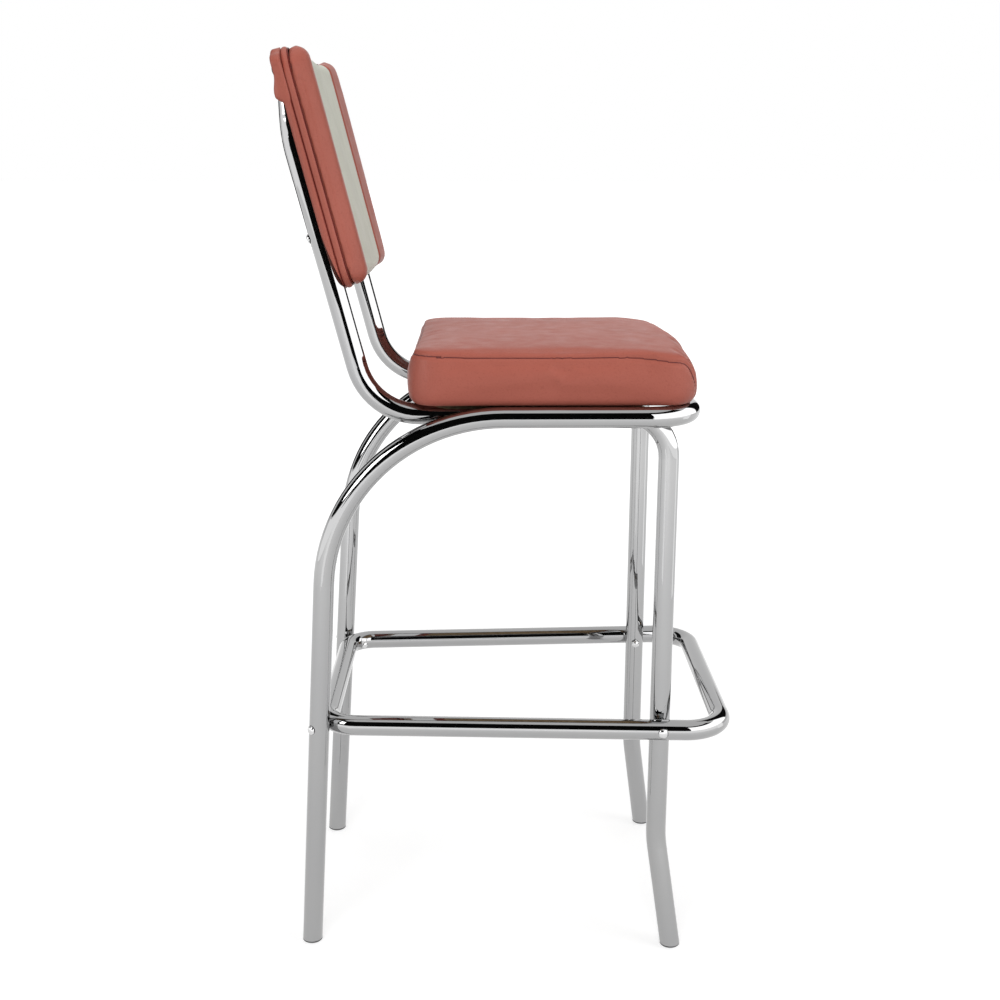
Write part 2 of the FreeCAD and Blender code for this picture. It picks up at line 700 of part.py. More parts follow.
seat_screws = []
seat_tees = []
for index, spot in enumerate(seat_screw_spots):
    seat_at = spot - Z_AXIS * (tube_r + size("seat_slack"))
    length = board_top + size("tee_flange") - seat_at.z
    screw = domed_screw("seat_screw%d" % index, Placement(seat_at, toward(Z_AXIS)), length,
                        cell("screw_radius"), cell("head_radius"), cell("head_height"))
    tee = tee_nut("seat_tee%d" % index, Placement(Vector(spot.x, spot.y, board_top), toward(Z_AXIS)),
                  cell("screw_radius"))
    seat_screws += [screw, mirrored(screw.Name + "_other", screw)]
    seat_tees += [tee, mirrored(tee.Name + "_other", tee)]
node(group("seat_screws", seat_screws), "seat_screws")
node(group("seat_tee_nuts", seat_tees), "seat_tee_nuts")

# Rail screws hold the rear frame's outer rails against the side frames

rail_screws = []
for index, spot in enumerate(rail_screw_spots):
    seat_at = spot - X_AXIS * (tube_r + size("seat_slack"))
    length = rear_rail_x - tube_r + size("tube_wall") + size("rail_screw_reach") - seat_at.x
    screw = domed_screw("rail_screw%d" % index, Placement(seat_at, toward(X_AXIS)), length,
                        cell("screw_radius"), cell("head_radius"), cell("head_height"))
    rail_screws += [screw, mirrored(screw.Name + "_other", screw)]
node(group("rail_screws", rail_screws), "rail_screws")

# Footrest bolts: heads outside, cap nuts inside

front_seat = dimple_start + X_AXIS * size("seat_slack")
front_nut_at = leg_at_ring - X_AXIS * (tube_r + size("seat_slack"))
front_length = front_seat.x - front_nut_at.x + size("nut_height") - size("seat_slack")
front_bolt = domed_screw("footrest_bolt_front", Placement(front_seat, toward(X_AXIS * -1)), front_length,
                         cell("screw_radius"), cell("footrest_head_radius"), cell("footrest_head_height"))
rear_seat = rear_leg_at_ring + outward * (tube_r + size("seat_slack"))
rear_nut_at = ring_at_leg - outward * (tube_r + size("seat_slack"))
rear_length = (rear_seat - rear_nut_at).Length + size("nut_height") - size("seat_slack")
rear_bolt = domed_screw("footrest_bolt_rear", Placement(rear_seat, toward(outward * -1)), rear_length,
                        cell("screw_radius"), cell("footrest_head_radius"), cell("footrest_head_height"))
front_nut = cap_nut("footrest_nut_front", Placement(front_nut_at, toward(X_AXIS * -1)))
rear_nut = cap_nut("footrest_nut_rear", Placement(rear_nut_at, toward(outward * -1)))
node(group("footrest_bolts_front", [front_bolt, mirrored("footrest_bolt_front_other", front_bolt)]), "footrest_bolts_front")
node(group("footrest_bolts_rear", [rear_bolt, mirrored("footrest_bolt_rear_other", rear_bolt)]), "footrest_bolts_rear")
node(group("footrest_nuts_front", [front_nut, mirrored("footrest_nut_front_other", front_nut)]), "footrest_nuts_front")
node(group("footrest_nuts_rear", [rear_nut, mirrored("footrest_nut_rear_other", rear_nut)]), "footrest_nuts_rear")

# Back: board, band, rear panel and front cushion share one outline with a dipped top edge


def back_outline(inset, depth):
    """Back outline drawn in by an inset, in the plane at a depth forward of the posts."""
    w = back_half
    rt = size("back_top_radius")
    rb = size("back_bottom_radius")
    dip = size("back_top_dip")
    cx = w - rt
    cz = size("back_top") - rt
    spread = (cx ** 2 + dip ** 2) / (2 * dip)
    dip_r = spread - rt + inset
    dip_z = size("back_top") - dip + spread - rt
    lean = math.asin(cx / spread)
    r_top = max(rt - inset, 2)
    r_low = max(rb - inset, 2)
    x = w - inset
    low = size("back_bottom") + inset
    low_z = low + r_low
    low_x = x - r_low
    top_x = x - r_top
    reach_x = top_x - r_top * math.sin(lean)
    reach_z = cz + r_top * math.cos(lean)
    half = (math.pi / 2 - lean) / 2
    mid_x = top_x + r_top * math.sin(half)
    mid_z = cz + r_top * math.cos(half)
    k = r_low * math.sqrt(0.5)

    def spot(px, pz):
        return Vector(px, -depth, pz)

    return chain([
        (spot(-low_x, low),),
        (spot(low_x, low),),
        (spot(low_x + k, low_z - k), spot(x, low_z)),
        (spot(x, cz),),
        (spot(mid_x, mid_z), spot(reach_x, reach_z)),
        (spot(0, dip_z - dip_r), spot(-reach_x, reach_z)),
        (spot(-mid_x, mid_z), spot(-x, cz)),
        (spot(-x, low_z),),
        (spot(-low_x - k, low_z - k), spot(-low_x, low)),
    ])


def slab(inset, near, far):
    """Flat slab of the back's outline between two depths."""
    return Part.Face(back_outline(inset, near)).extrude(Y_AXIS * (near - far))


def placed(name, shape):
    """A form made in the plane of the posts and put in its place on the stool."""
    obj = feature(name, shape)
    obj.Placement = back_place
    return obj


board_depth = size("back_board_depth")
band_outer = size("back_band_inset")
band_inner = band_outer + size("back_band_wall")
board_blank = placed("back_board_blank", slab(band_inner + gap, board_depth, board_front))
board_spots = [post_bolt_spot, top_screw_spot, other_side(post_bolt_spot), other_side(top_screw_spot)]
back_holes = []
for index, spot in enumerate(board_spots):
    back_holes.append(drill("back_hole%d" % index, barrel_hole, spot, forward, 2 * tube_r + 10))
node(cut("back_board", board_blank, back_holes), "back_board")

band_solid = slab(band_outer, board_depth, board_front).cut(slab(band_inner, board_depth - 1, board_front + 1))
node(placed("back_band", band_solid), "back_band")

# Front cushion: rounded pad with two side rolls and a shallow centre stripe

pad_rear = board_front + gap
pad_sections = [back_outline(0, pad_rear), back_outline(0, pad_rear + size("front_pad_side"))]
round_front = size("front_pad_round")
for step in range(1, 5):
    angle = math.pi / 2 * step / 5
    pad_sections.append(back_outline(round_front * (1 - math.cos(angle)),
                                     pad_rear + size("front_pad_side") + round_front * math.sin(angle)))
pad_sections.append(back_outline(round_front * 1.6, size("roll_depth") + 4))
pad_form = Part.makeLoft(pad_sections, True, False)

roll_x = back_half - size("roll_centre_inset")
stripe_x = size("stripe_half_width")
edge_x = back_half + 5
edge_depth = size("roll_depth") - 16
low_z = size("back_bottom") - 5
quarter_x = (roll_x + stripe_x) / 2
quarter_depth = size("stripe_edge_depth") + (size("roll_depth") - size("stripe_edge_depth")) * 0.72


def front_spot(px, depth):
    return Vector(px, -depth, low_z)


side_mid = ((edge_x + roll_x) / 2 + 4, size("roll_depth") - 4)
channel_face = Part.Face(chain([
    (front_spot(-edge_x, pad_rear - 5),),
    (front_spot(edge_x, pad_rear - 5),),
    (front_spot(edge_x, edge_depth),),
    (front_spot(side_mid[0], side_mid[1]), front_spot(roll_x, size("roll_depth"))),
    (front_spot(quarter_x, quarter_depth), front_spot(stripe_x, size("stripe_edge_depth"))),
    (front_spot(0, size("stripe_depth")), front_spot(-stripe_x, size("stripe_edge_depth"))),
    (front_spot(-quarter_x, quarter_depth), front_spot(-roll_x, size("roll_depth"))),
    (front_spot(-side_mid[0], side_mid[1]), front_spot(-edge_x, edge_depth)),
    (front_spot(-edge_x, pad_rear - 5),),
]))
channel_prism = channel_face.extrude(Z_AXIS * (size("back_top") - size("back_bottom") + 10))
pad_blank = placed("back_pad_blank", pad_form.common(channel_prism))
pad_recesses = []
for index, spot in enumerate(board_spots):
    pad_recesses.append(drill("pad_recess%d" % index, "Sizes.tee_flange_radius + Sizes.soft_gap * 2",
                              spot + forward * (board_front - 1), forward, 1 + size("tee_flange") + 1.5))
node(cut("back_cushion_front", pad_blank, pad_recesses), "back_cushion_front")

# Rear panel: crowned pad that thins toward the bottom and closes over the pressed post tops

panel_front = board_depth - gap
panel_sections = [back_outline(0, panel_front), back_outline(0, panel_front - 3)]
round_rear = size("rear_pad_round")
for step in range(1, 5):
    angle = math.pi / 2 * step / 5
    panel_sections.append(back_outline(round_rear * (1 - math.cos(angle)), panel_front - 3 - round_rear * math.sin(angle)))
panel_sections.append(back_outline(round_rear * 2, size("rear_crown_depth") - 3))
panel_form = Part.makeLoft(panel_sections, True, False)
crown_back = Part.Face(chain([
    (front_spot(-edge_x, panel_front + 5),),
    (front_spot(edge_x, panel_front + 5),),
    (front_spot(edge_x, size("rear_edge_depth")),),
    (front_spot(0, size("rear_crown_depth")), front_spot(-edge_x, size("rear_edge_depth"))),
    (front_spot(-edge_x, panel_front + 5),),
])).extrude(Z_AXIS * (size("back_top") - size("back_bottom") + 10))


def side_spot(level, depth):
    return Vector(-edge_x, -depth, level)


taper_low = size("rear_taper_end")
taper_high = size("rear_taper_start")
taper_face = Part.Face(chain([
    (side_spot(size("back_top") + 5, panel_front + 5),),
    (side_spot(taper_low, panel_front + 5),),
    (side_spot(taper_low, panel_front - 0.8),),
    (side_spot((taper_low + taper_high) / 2, (panel_front + size("rear_crown_depth")) / 2 - 1), side_spot(taper_high, size("rear_crown_depth") - 1),),
    (side_spot(size("back_top") + 5, size("rear_crown_depth") - 5),),
    (side_spot(size("back_top") + 5, panel_front + 5),),
]))
taper_prism = taper_face.extrude(X_AXIS * (2 * edge_x))
panel_blank = placed("back_panel_blank", panel_form.common(crown_back).common(taper_prism))
recess_start = post_point(size("back_bottom") - 30)
recess_length = (post_point(size("post_round_end")) - recess_start).Length
post_recess = drill("post_recess_round", "Sizes.tube_od / 2 + Sizes.soft_gap", recess_start, post_run.normalize(), recess_length)
post_recess_top = pressed_post("post_recess_pressed", gap)
top_seat = top_screw_spot + forward * size("rear_edge_depth")
top_clear = drill("panel_hole_top", "Sizes.top_screw_radius + Sizes.soft_gap", top_screw_spot - forward * 10, forward, 30)
top_pad = drill("panel_seat_top", "Sizes.top_head_radius + Sizes.soft_gap",
                top_seat - forward * 10, forward, 10)
panel_tools_left = [post_recess, post_recess_top, top_clear, top_pad]
panel_tools = panel_tools_left + [mirrored(tool.Name + "_other", tool) for tool in panel_tools_left]
node(cut("back_panel_rear", panel_blank, panel_tools), "back_panel_rear")

# Back fasteners: bolts through the posts below, domed screws through the rear panel above

bolt_at = post_bolt_spot - forward * (tube_r + size("seat_slack"))
bolt_length = tube_r + size("seat_slack") + board_front + size("tee_flange")
back_bolt = domed_screw("back_bolt", Placement(bolt_at, toward(forward)), bolt_length,
                        cell("screw_radius"), cell("head_radius"), cell("head_height"))
top_at = top_seat - forward * size("seat_slack")
top_length = board_front + size("tee_flange") - size("rear_edge_depth") + size("seat_slack")
top_screw = domed_screw("back_top_screw", Placement(top_at, toward(forward)), top_length,
                        cell("top_screw_radius"), cell("top_head_radius"), cell("top_head_height"))
low_tee = tee_nut("back_tee_low", Placement(post_bolt_spot + forward * board_front, toward(forward)),
                  cell("screw_radius"))
high_tee = tee_nut("back_tee_high", Placement(top_screw_spot + forward * board_front, toward(forward)),
                   cell("top_screw_radius"))
node(group("back_bolts", [back_bolt, mirrored("back_bolt_other", back_bolt)]), "back_bolts")
node(group("back_top_screws", [top_screw, mirrored("back_top_screw_other", top_screw)]), "back_top_screws")
tees = [low_tee, mirrored("back_tee_low_other", low_tee), high_tee, mirrored("back_tee_high_other", high_tee)]
node(group("back_tee_nuts", tees), "back_tee_nuts")

doc.recompute()

# Check every object, then write one file for each piece

problems = []
for obj in doc.Objects:
    if "Invalid" in obj.State or "Error" in obj.State:
        problems.append("%s is in state %s" % (obj.Name, obj.State))
for obj in NODES:
    if obj.Shape.isNull() or not obj.Shape.isValid():
        problems.append("%s has no valid shape" % obj.Label)
if problems:
    raise RuntimeError("; ".join(problems))

os.makedirs("parts", exist_ok=True)
for obj in NODES:
    obj.Shape.exportStep("parts/%s.step" % obj.Label)
    print(obj.Label, len(obj.Shape.Solids), round(obj.Shape.Volume), obj.Shape.BoundBox)
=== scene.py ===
import math

import bpy
import numpy as np
from mathutils import Matrix, Vector
from mathutils.bvhtree import BVHTree


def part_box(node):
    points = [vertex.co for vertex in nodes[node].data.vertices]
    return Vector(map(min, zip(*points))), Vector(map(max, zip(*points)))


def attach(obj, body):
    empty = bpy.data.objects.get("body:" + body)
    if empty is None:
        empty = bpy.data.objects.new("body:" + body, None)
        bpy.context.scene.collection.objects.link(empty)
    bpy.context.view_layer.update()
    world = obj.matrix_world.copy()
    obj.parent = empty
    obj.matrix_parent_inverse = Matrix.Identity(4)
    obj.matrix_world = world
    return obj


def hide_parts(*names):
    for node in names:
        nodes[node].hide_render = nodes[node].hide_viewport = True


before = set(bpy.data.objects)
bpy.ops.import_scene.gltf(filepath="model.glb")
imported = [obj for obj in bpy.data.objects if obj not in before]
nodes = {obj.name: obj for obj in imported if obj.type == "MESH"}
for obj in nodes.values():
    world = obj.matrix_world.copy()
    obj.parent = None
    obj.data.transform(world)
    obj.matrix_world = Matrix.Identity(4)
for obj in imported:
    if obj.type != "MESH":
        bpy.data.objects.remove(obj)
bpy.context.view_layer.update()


# Frame tubes
# One-inch steel tube, bent cold and chrome plated: two side frames, the rear frame and the
# footrest ring. The solids are right as they stand, so they keep their shape and get the plating.

def new_material(name):
    """Empty node material with one Principled shader and the piece's own object coordinates."""
    mat = bpy.data.materials.new(name)
    mat.use_nodes = True
    tree = mat.node_tree
    tree.nodes.clear()
    out = tree.nodes.new("ShaderNodeOutputMaterial")
    shader = tree.nodes.new("ShaderNodeBsdfPrincipled")
    tree.links.new(shader.outputs["BSDF"], out.inputs["Surface"])
    place = tree.nodes.new("ShaderNodeTexCoord")
    return mat, tree, shader, place.outputs["Object"]


def noise(tree, place, scale, detail=4.0, rough=0.55):
    """Cloudy noise at so many cells a metre."""
    node = tree.nodes.new("ShaderNodeTexNoise")
    node.inputs["Scale"].default_value = scale
    node.inputs["Detail"].default_value = detail
    node.inputs["Roughness"].default_value = rough
    tree.links.new(place, node.inputs["Vector"])
    return node.outputs["Fac"]


def spread(tree, value, low, high, to_low, to_high):
    """Straight-line map of a value from one range to another, clamped."""
    node = tree.nodes.new("ShaderNodeMapRange")
    node.inputs["From Min"].default_value = low
    node.inputs["From Max"].default_value = high
    node.inputs["To Min"].default_value = to_low
    node.inputs["To Max"].default_value = to_high
    tree.links.new(value, node.inputs["Value"])
    return node.outputs["Result"]


def tint(tree, value, stops):
    """Colour ramp through the given (position, colour) stops."""
    node = tree.nodes.new("ShaderNodeValToRGB")
    ramp = node.color_ramp
    while len(ramp.elements) < len(stops):
        ramp.elements.new(0.5)
    for element, (where, colour) in zip(ramp.elements, stops):
        element.position = where
        element.color = (*colour, 1.0)
    tree.links.new(value, node.inputs["Fac"])
    return node.outputs["Color"]


def bump(tree, shader, height, distance, strength=1.0):
    """Height in, shader normal out, at a real depth in metres."""
    node = tree.nodes.new("ShaderNodeBump")
    node.inputs["Distance"].default_value = distance
    node.inputs["Strength"].default_value = strength
    tree.links.new(height, node.inputs["Height"])
    tree.links.new(node.outputs["Normal"], shader.inputs["Normal"])


def plating(name, shade, rough_low, rough_high):
    """Bright chrome: mirror metal whose polish varies a little, with rubbed patches."""
    mat, tree, shader, place = new_material(name)
    rubbed, clean = (shade * 0.97, shade * 0.97, shade * 0.98), (shade, shade, shade)
    cloud = noise(tree, place, 9.0, 5.0)
    tree.links.new(tint(tree, cloud, [(0.3, rubbed), (0.7, clean)]), shader.inputs["Base Color"])
    fine = noise(tree, place, 160.0, 6.0, 0.7)
    tree.links.new(spread(tree, fine, 0.35, 0.75, rough_low, rough_high), shader.inputs["Roughness"])
    shader.inputs["Metallic"].default_value = 1.0
    bump(tree, shader, noise(tree, place, 26.0, 2.0), 0.00006)
    return mat


def dress(names, mat):
    """Give CAD nodes a material in every slot."""
    for name in names:
        mesh = nodes[name].data
        if not mesh.materials:
            mesh.materials.append(mat)
        for index in range(len(mesh.materials)):
            mesh.materials[index] = mat


tube_plating = plating("tube_plating", 0.37, 0.02, 0.05)
dress(["side_frame_left", "side_frame_right", "rear_frame", "footrest_ring"], tube_plating)


# Feet
# Black nylon bushes plug the leg ends. Each holds a small chrome domed glide on a pin.

def speckled(name, scale, stops, rough, grain_scale, grain_depth):
    """Dull material: a colour that drifts with one noise, and a surface roughened by a finer one."""
    mat, tree, shader, place = new_material(name)
    tree.links.new(tint(tree, noise(tree, place, scale), stops), shader.inputs["Base Color"])
    shader.inputs["Roughness"].default_value = rough
    bump(tree, shader, noise(tree, place, grain_scale), grain_depth)
    return mat


dress(["glide_front_left", "glide_front_right", "glide_rear_left", "glide_rear_right"],
      plating("glide_plating", 0.45, 0.05, 0.12))
NYLON_STOPS = [(0.3, (0.012, 0.012, 0.013)), (0.8, (0.03, 0.03, 0.031))]
dress(["glide_bush_front_left", "glide_bush_front_right", "glide_bush_rear_left", "glide_bush_rear_right"],
      speckled("bush_nylon", 300.0, NYLON_STOPS, 0.45, 900.0, 0.00003))


# Fasteners
# Plated button-head bolts and cap nuts hold the footrest, posts and back. The screws and tee nuts
# inside are zinc plated.

dress(["footrest_bolts_front", "footrest_bolts_rear", "footrest_nuts_front", "footrest_nuts_rear",
       "back_bolts", "back_top_screws"], plating("bolt_plating", 0.62, 0.06, 0.14))
dress(["seat_screws", "seat_tee_nuts", "rail_screws", "back_tee_nuts"],
      plating("zinc_plating", 0.55, 0.22, 0.4))


# Boards
# Birch plywood panels, sawn and drilled: one under the seat cushion, one in the back.

PLY_STOPS = [(0.3, (0.42, 0.27, 0.14)), (0.7, (0.62, 0.45, 0.27))]
GRAIN_STRETCH = 14.0

ply, ply_tree, ply_shader, ply_place = new_material("birch_ply")
stretch = ply_tree.nodes.new("ShaderNodeMapping")
stretch.inputs["Scale"].default_value = (1.0, GRAIN_STRETCH, GRAIN_STRETCH)
ply_tree.links.new(ply_place, stretch.inputs["Vector"])
grain = noise(ply_tree, stretch.outputs["Vector"], 12.0, 6.0, 0.65)
ply_tree.links.new(tint(ply_tree, grain, PLY_STOPS), ply_shader.inputs["Base Color"])
ply_shader.inputs["Roughness"].default_value = 0.7
bump(ply_tree, ply_shader, grain, 0.0002)
dress(["seat_board", "back_board"], ply)


# Seat cushion
# Foam block in grained red vinyl: the top panel runs over the front edge, and a band is sewn
# round the sides and rear. The cover is tight, so the sides belly out and draw in to the seam.

def perimeter(half_width, front, rear, radius, samples):
    """Rounded rectangle walked once anticlockwise: straight runs and quarter circles, evenly divided."""
    quarter = np.linspace(0.0, math.pi / 2, samples // 4 // 2, endpoint=False)
    run = samples // 4 - len(quarter)
    x, y_front, y_rear = half_width - radius, front + radius, rear - radius
    corners = [(x, y_rear, 0.0), (-x, y_rear, math.pi / 2),
               (-x, y_front, math.pi), (x, y_front, 1.5 * math.pi)]
    points = []
    for index, (cx, cy, start) in enumerate(corners):
        angle = start + quarter
        points.append(np.column_stack([cx + radius * np.cos(angle), cy + radius * np.sin(angle)]))
        nx, ny, _ = corners[(index + 1) % 4]
        turn = start + math.pi / 2
        here = np.array([cx + radius * math.cos(turn), cy + radius * math.sin(turn)])
        there = np.array([nx + radius * math.cos(turn), ny + radius * math.sin(turn)])
        way = np.linspace(0.0, 1.0, run, endpoint=False)[:, None]
        points.append(here * (1 - way) + there * way)
    return np.vstack(points)


def new_object(name, verts, faces, smooth=True):
    """Mesh object at the origin, from a list of points and a list of faces."""
    mesh = bpy.data.meshes.new(name)
    mesh.from_pydata(verts, [], faces)
    mesh.polygons.foreach_set("use_smooth", np.full(len(mesh.polygons), smooth))
    obj = bpy.data.objects.new(name, mesh)
    bpy.context.scene.collection.objects.link(obj)
    return obj


def shell(name, rings, low_pole, high_pole):
    """Closed surface from a stack of rings (rings x samples x 3), closed at each end by a pole."""
    count, samples, _ = rings.shape
    verts = np.vstack([rings.reshape(-1, 3), low_pole, high_pole])
    i = np.arange(count - 1)[:, None] * samples
    j = np.arange(samples)[None, :]
    k = (j + 1) % samples
    quads = np.stack([i + j, i + k, i + samples + k, i + samples + j], axis=-1).reshape(-1, 4)
    low_tip, high_tip = count * samples, count * samples + 1
    first = np.arange(samples)
    after = (first + 1) % samples
    low = np.column_stack([np.full(samples, low_tip), after, first])
    last = (count - 1) * samples
    high = np.column_stack([np.full(samples, high_tip), last + first, last + after])
    return new_object(name, verts.tolist(), quads.tolist() + low.tolist() + high.tolist())


def points_of(obj):
    """The mesh's vertices as an array."""
    flat = np.empty(len(obj.data.vertices) * 3)
    obj.data.vertices.foreach_get("co", flat)
    return flat.reshape(-1, 3)


def normals_of(obj):
    """The mesh's vertex normals as an array."""
    flat = np.empty(len(obj.data.vertices) * 3)
    obj.data.vertices.foreach_get("normal", flat)
    return flat.reshape(-1, 3)


def set_points(obj, points):
    """Move the mesh's vertices to the rows of an array."""
    obj.data.vertices.foreach_set("co", points.ravel())
    obj.data.update()


def apply_all(obj):
    """Make the object's live modifiers part of its mesh."""
    graph = bpy.context.evaluated_depsgraph_get()
    graph.update()
    mesh = bpy.data.meshes.new_from_object(obj.evaluated_get(graph))
    obj.modifiers.clear()
    obj.data = mesh
    mesh.polygons.foreach_set("use_smooth", np.ones(len(mesh.polygons), bool))


STUFFING_FRAMES = 20


def stuff(obj, voxel, pressure, cap):
    """Fill a cover with foam: even mesh, cloth under inner pressure, then movement capped and smoothed."""
    remesh = obj.modifiers.new("even", "REMESH")
    remesh.mode = "VOXEL"
    remesh.voxel_size = voxel
    apply_all(obj)
    start = points_of(obj)
    cloth = obj.modifiers.new("cover", "CLOTH")
    cloth.settings.quality = 6
    cloth.settings.mass = 0.4
    cloth.settings.tension_stiffness = 20
    cloth.settings.compression_stiffness = 20
    cloth.settings.bending_stiffness = 6
    cloth.settings.use_pressure = True
    cloth.settings.uniform_pressure_force = pressure
    cloth.settings.effector_weights.gravity = 0.0
    cloth.point_cache.frame_start = 1
    cloth.point_cache.frame_end = STUFFING_FRAMES
    for step in range(1, STUFFING_FRAMES + 1):
        bpy.context.scene.frame_set(step)
    apply_all(obj)
    moved = points_of(obj) - start
    far = np.linalg.norm(moved, axis=1, keepdims=True)
    set_points(obj, start + moved * np.minimum(1.0, cap / np.maximum(far, 1e-9)))
    bpy.context.scene.frame_set(1)
    smooth = obj.modifiers.new("even_out", "SMOOTH")
    smooth.factor = 0.5
    smooth.iterations = 4
    finer = obj.modifiers.new("finer", "SUBSURF")
    finer.levels = finer.render_levels = 1
    apply_all(obj)


def sink_seam(obj, line, depth, width, puff):
    """Pull the cover in along a sewn line: a bell-shaped dip by distance, with a slight swell beside it."""
    points = points_of(obj)
    normals = normals_of(obj)
    far_off, reach = 1.0, 6 * width
    near = np.full(len(points), far_off)
    for part in np.array_split(line, max(1, len(line) // 60)):
        low, high = part.min(0) - reach, part.max(0) + reach
        chosen = np.flatnonzero(((points > low) & (points < high)).all(1))
        if len(chosen):
            gaps = np.linalg.norm(points[chosen, None, :] - part[None, :, :], axis=2).min(1)
            near[chosen] = np.minimum(near[chosen], gaps)
    swell = puff * np.exp(-((near - 2.6 * width) / (1.3 * width)) ** 2)
    dip = depth * np.exp(-(near / width) ** 2) - swell
    set_points(obj, points - normals * dip[:, None])


def on_surface(obj, line, lift=0.0):
    """The line's points moved to the nearest points of the cover, and lifted off it."""
    tree = BVHTree.FromObject(obj, bpy.context.evaluated_depsgraph_get())
    found = [tree.find_nearest(Vector(p)) for p in line]
    return np.array([tuple(place + normal * lift) for place, normal, _, _ in found])


def thread(name, line, radius):
    """Round cord along a line: a circle carried on frames that turn with the line."""
    ahead = np.gradient(line, axis=0)
    ahead = ahead / np.linalg.norm(ahead, axis=1, keepdims=True)
    upright = np.abs(ahead[:, 2:3]) > 0.9
    side = np.cross(ahead, np.where(upright, np.array([[1.0, 0.0, 0.0]]), np.array([[0.0, 0.0, 1.0]])))
    side = side / np.linalg.norm(side, axis=1, keepdims=True)
    rise = np.cross(side, ahead)
    angle = np.linspace(0.0, 2 * math.pi, 8, endpoint=False)[None, :, None]
    rings = line[:, None, :] + radius * (np.cos(angle) * side[:, None, :] + np.sin(angle) * rise[:, None, :])
    tip = radius * 0.5
    return shell(name, rings[:, ::-1], line[0] - ahead[0] * tip, line[-1] + ahead[-1] * tip)


def calc(tree, operation, *terms):
    """One sum on node values. A term is a node's output or a plain number."""
    node = tree.nodes.new("ShaderNodeMath")
    node.operation = operation
    for socket, term in zip(node.inputs, terms):
        if isinstance(term, float):
            socket.default_value = term
        else:
            tree.links.new(term, socket)
    return node.outputs["Value"]


STRIPE_BLUR = 0.0004


def vinyl(name, deep, light, stripe=None):
    """Grained vinyl: small pebble cells over a finer crease, soft gloss, slight colour drift.
    A stripe is (half width, deep, light): its colours show between the seams."""
    mat, tree, shader, place = new_material(name)
    pebble = tree.nodes.new("ShaderNodeTexVoronoi")
    pebble.feature = "SMOOTH_F1"
    pebble.inputs["Scale"].default_value = 620.0
    tree.links.new(place, pebble.inputs["Vector"])
    cells = spread(tree, pebble.outputs["Distance"], 0.0, 0.75, 1.0, 0.0)
    drift = noise(tree, place, 9.0, 3.0, 0.5)
    colour = tint(tree, drift, [(0.3, deep), (0.7, light)])
    if stripe:
        half, pale_deep, pale_light = stripe
        pale = tint(tree, drift, [(0.3, pale_deep), (0.7, pale_light)])
        split = tree.nodes.new("ShaderNodeSeparateXYZ")
        tree.links.new(place, split.inputs["Vector"])
        away = calc(tree, "ABSOLUTE", split.outputs["X"])
        side = spread(tree, away, half - STRIPE_BLUR, half + STRIPE_BLUR, 0.0, 1.0)
        mix = tree.nodes.new("ShaderNodeMix")
        mix.data_type = "RGBA"
        tree.links.new(side, mix.inputs["Factor"])
        tree.links.new(pale, mix.inputs["A"])
        tree.links.new(colour, mix.inputs["B"])
        colour = mix.outputs["Result"]
    # painted shade: the colour is darkened in the valleys between the pebble cells, where the grain is low
    valley_shade = tree.nodes.new("ShaderNodeMix")
    valley_shade.data_type = "RGBA"
    valley_shade.blend_type = "MULTIPLY"
    valley_shade.inputs["B"].default_value = (0.72, 0.68, 0.68, 1.0)
    tree.links.new(spread(tree, cells, 0.35, 0.0, 0.0, 0.3), valley_shade.inputs["Factor"])
    tree.links.new(colour, valley_shade.inputs["A"])
    tree.links.new(valley_shade.outputs["Result"], shader.inputs["Base Color"])
    sheen = noise(tree, place, 45.0, 4.0)
    tree.links.new(spread(tree, sheen, 0.3, 0.7, 0.36, 0.48), shader.inputs["Roughness"])
    shader.inputs["Specular IOR Level"].default_value = 0.14
    crease = noise(tree, place, 240.0, 3.0, 0.6)
    bump(tree, shader, calc(tree, "MULTIPLY_ADD", crease, 1.4, cells), 0.00011)
    return mat


RED_DEEP = (0.362, 0.100, 0.071)
RED_LIGHT = (0.392, 0.109, 0.078)
red_vinyl = vinyl("red_vinyl", RED_DEEP, RED_LIGHT)
THREAD_STOPS = [(0.3, (0.09, 0.012, 0.01)), (0.8, (0.16, 0.025, 0.02))]
THREAD_RADIUS, THREAD_LIFT = 0.0006, 0.0001
seam_thread = speckled("seam_thread", 700.0, THREAD_STOPS, 0.6, 1500.0, 0.0001)

SEAT_HALF, SEAT_FRONT, SEAT_REAR = 0.1868, -0.2160, 0.1290
SEAT_LOW, SEAT_TOP, SEAT_CORNER = 0.7100, 0.7765, 0.036
SEAT_DRAW = 0.0060
SEAT_FLOOR, SEAT_CROWN = SEAT_LOW + 0.0005, SEAT_TOP + 0.001
SEAM_HEIGHT = SEAT_LOW + 0.0590
SEAT_SAMPLES = 320
FALL_LENGTH, FALL_DEPTH = 0.117, 0.014
NOSE_LENGTH, NOSE_DEPTH = 0.022, 0.045


def seat_fall(x, y):
    """Highest the top panel can be at a place: a long easy fall as a power of the way gone, less of it in the
    middle, and over the last of it a quarter ellipse down the nose."""
    d = np.maximum(y - SEAT_FRONT, 0.0)
    easy = np.maximum(1 - d / FALL_LENGTH, 0.0) ** 1.5
    nose = 1 - np.sqrt(1 - np.clip(1 - d / NOSE_LENGTH, 0.0, 1.0) ** 2)
    return SEAT_TOP - FALL_DEPTH * easy * (0.35 + 0.65 * (x / SEAT_HALF) ** 2) - NOSE_DEPTH * nose


def side_inset(z):
    """How far the side is drawn in at a height, bellied low and drawn in to the seam."""
    way = np.clip((z - SEAT_LOW - 0.013) / 0.048, 0.0, 1.0)
    return SEAT_DRAW * way ** 2


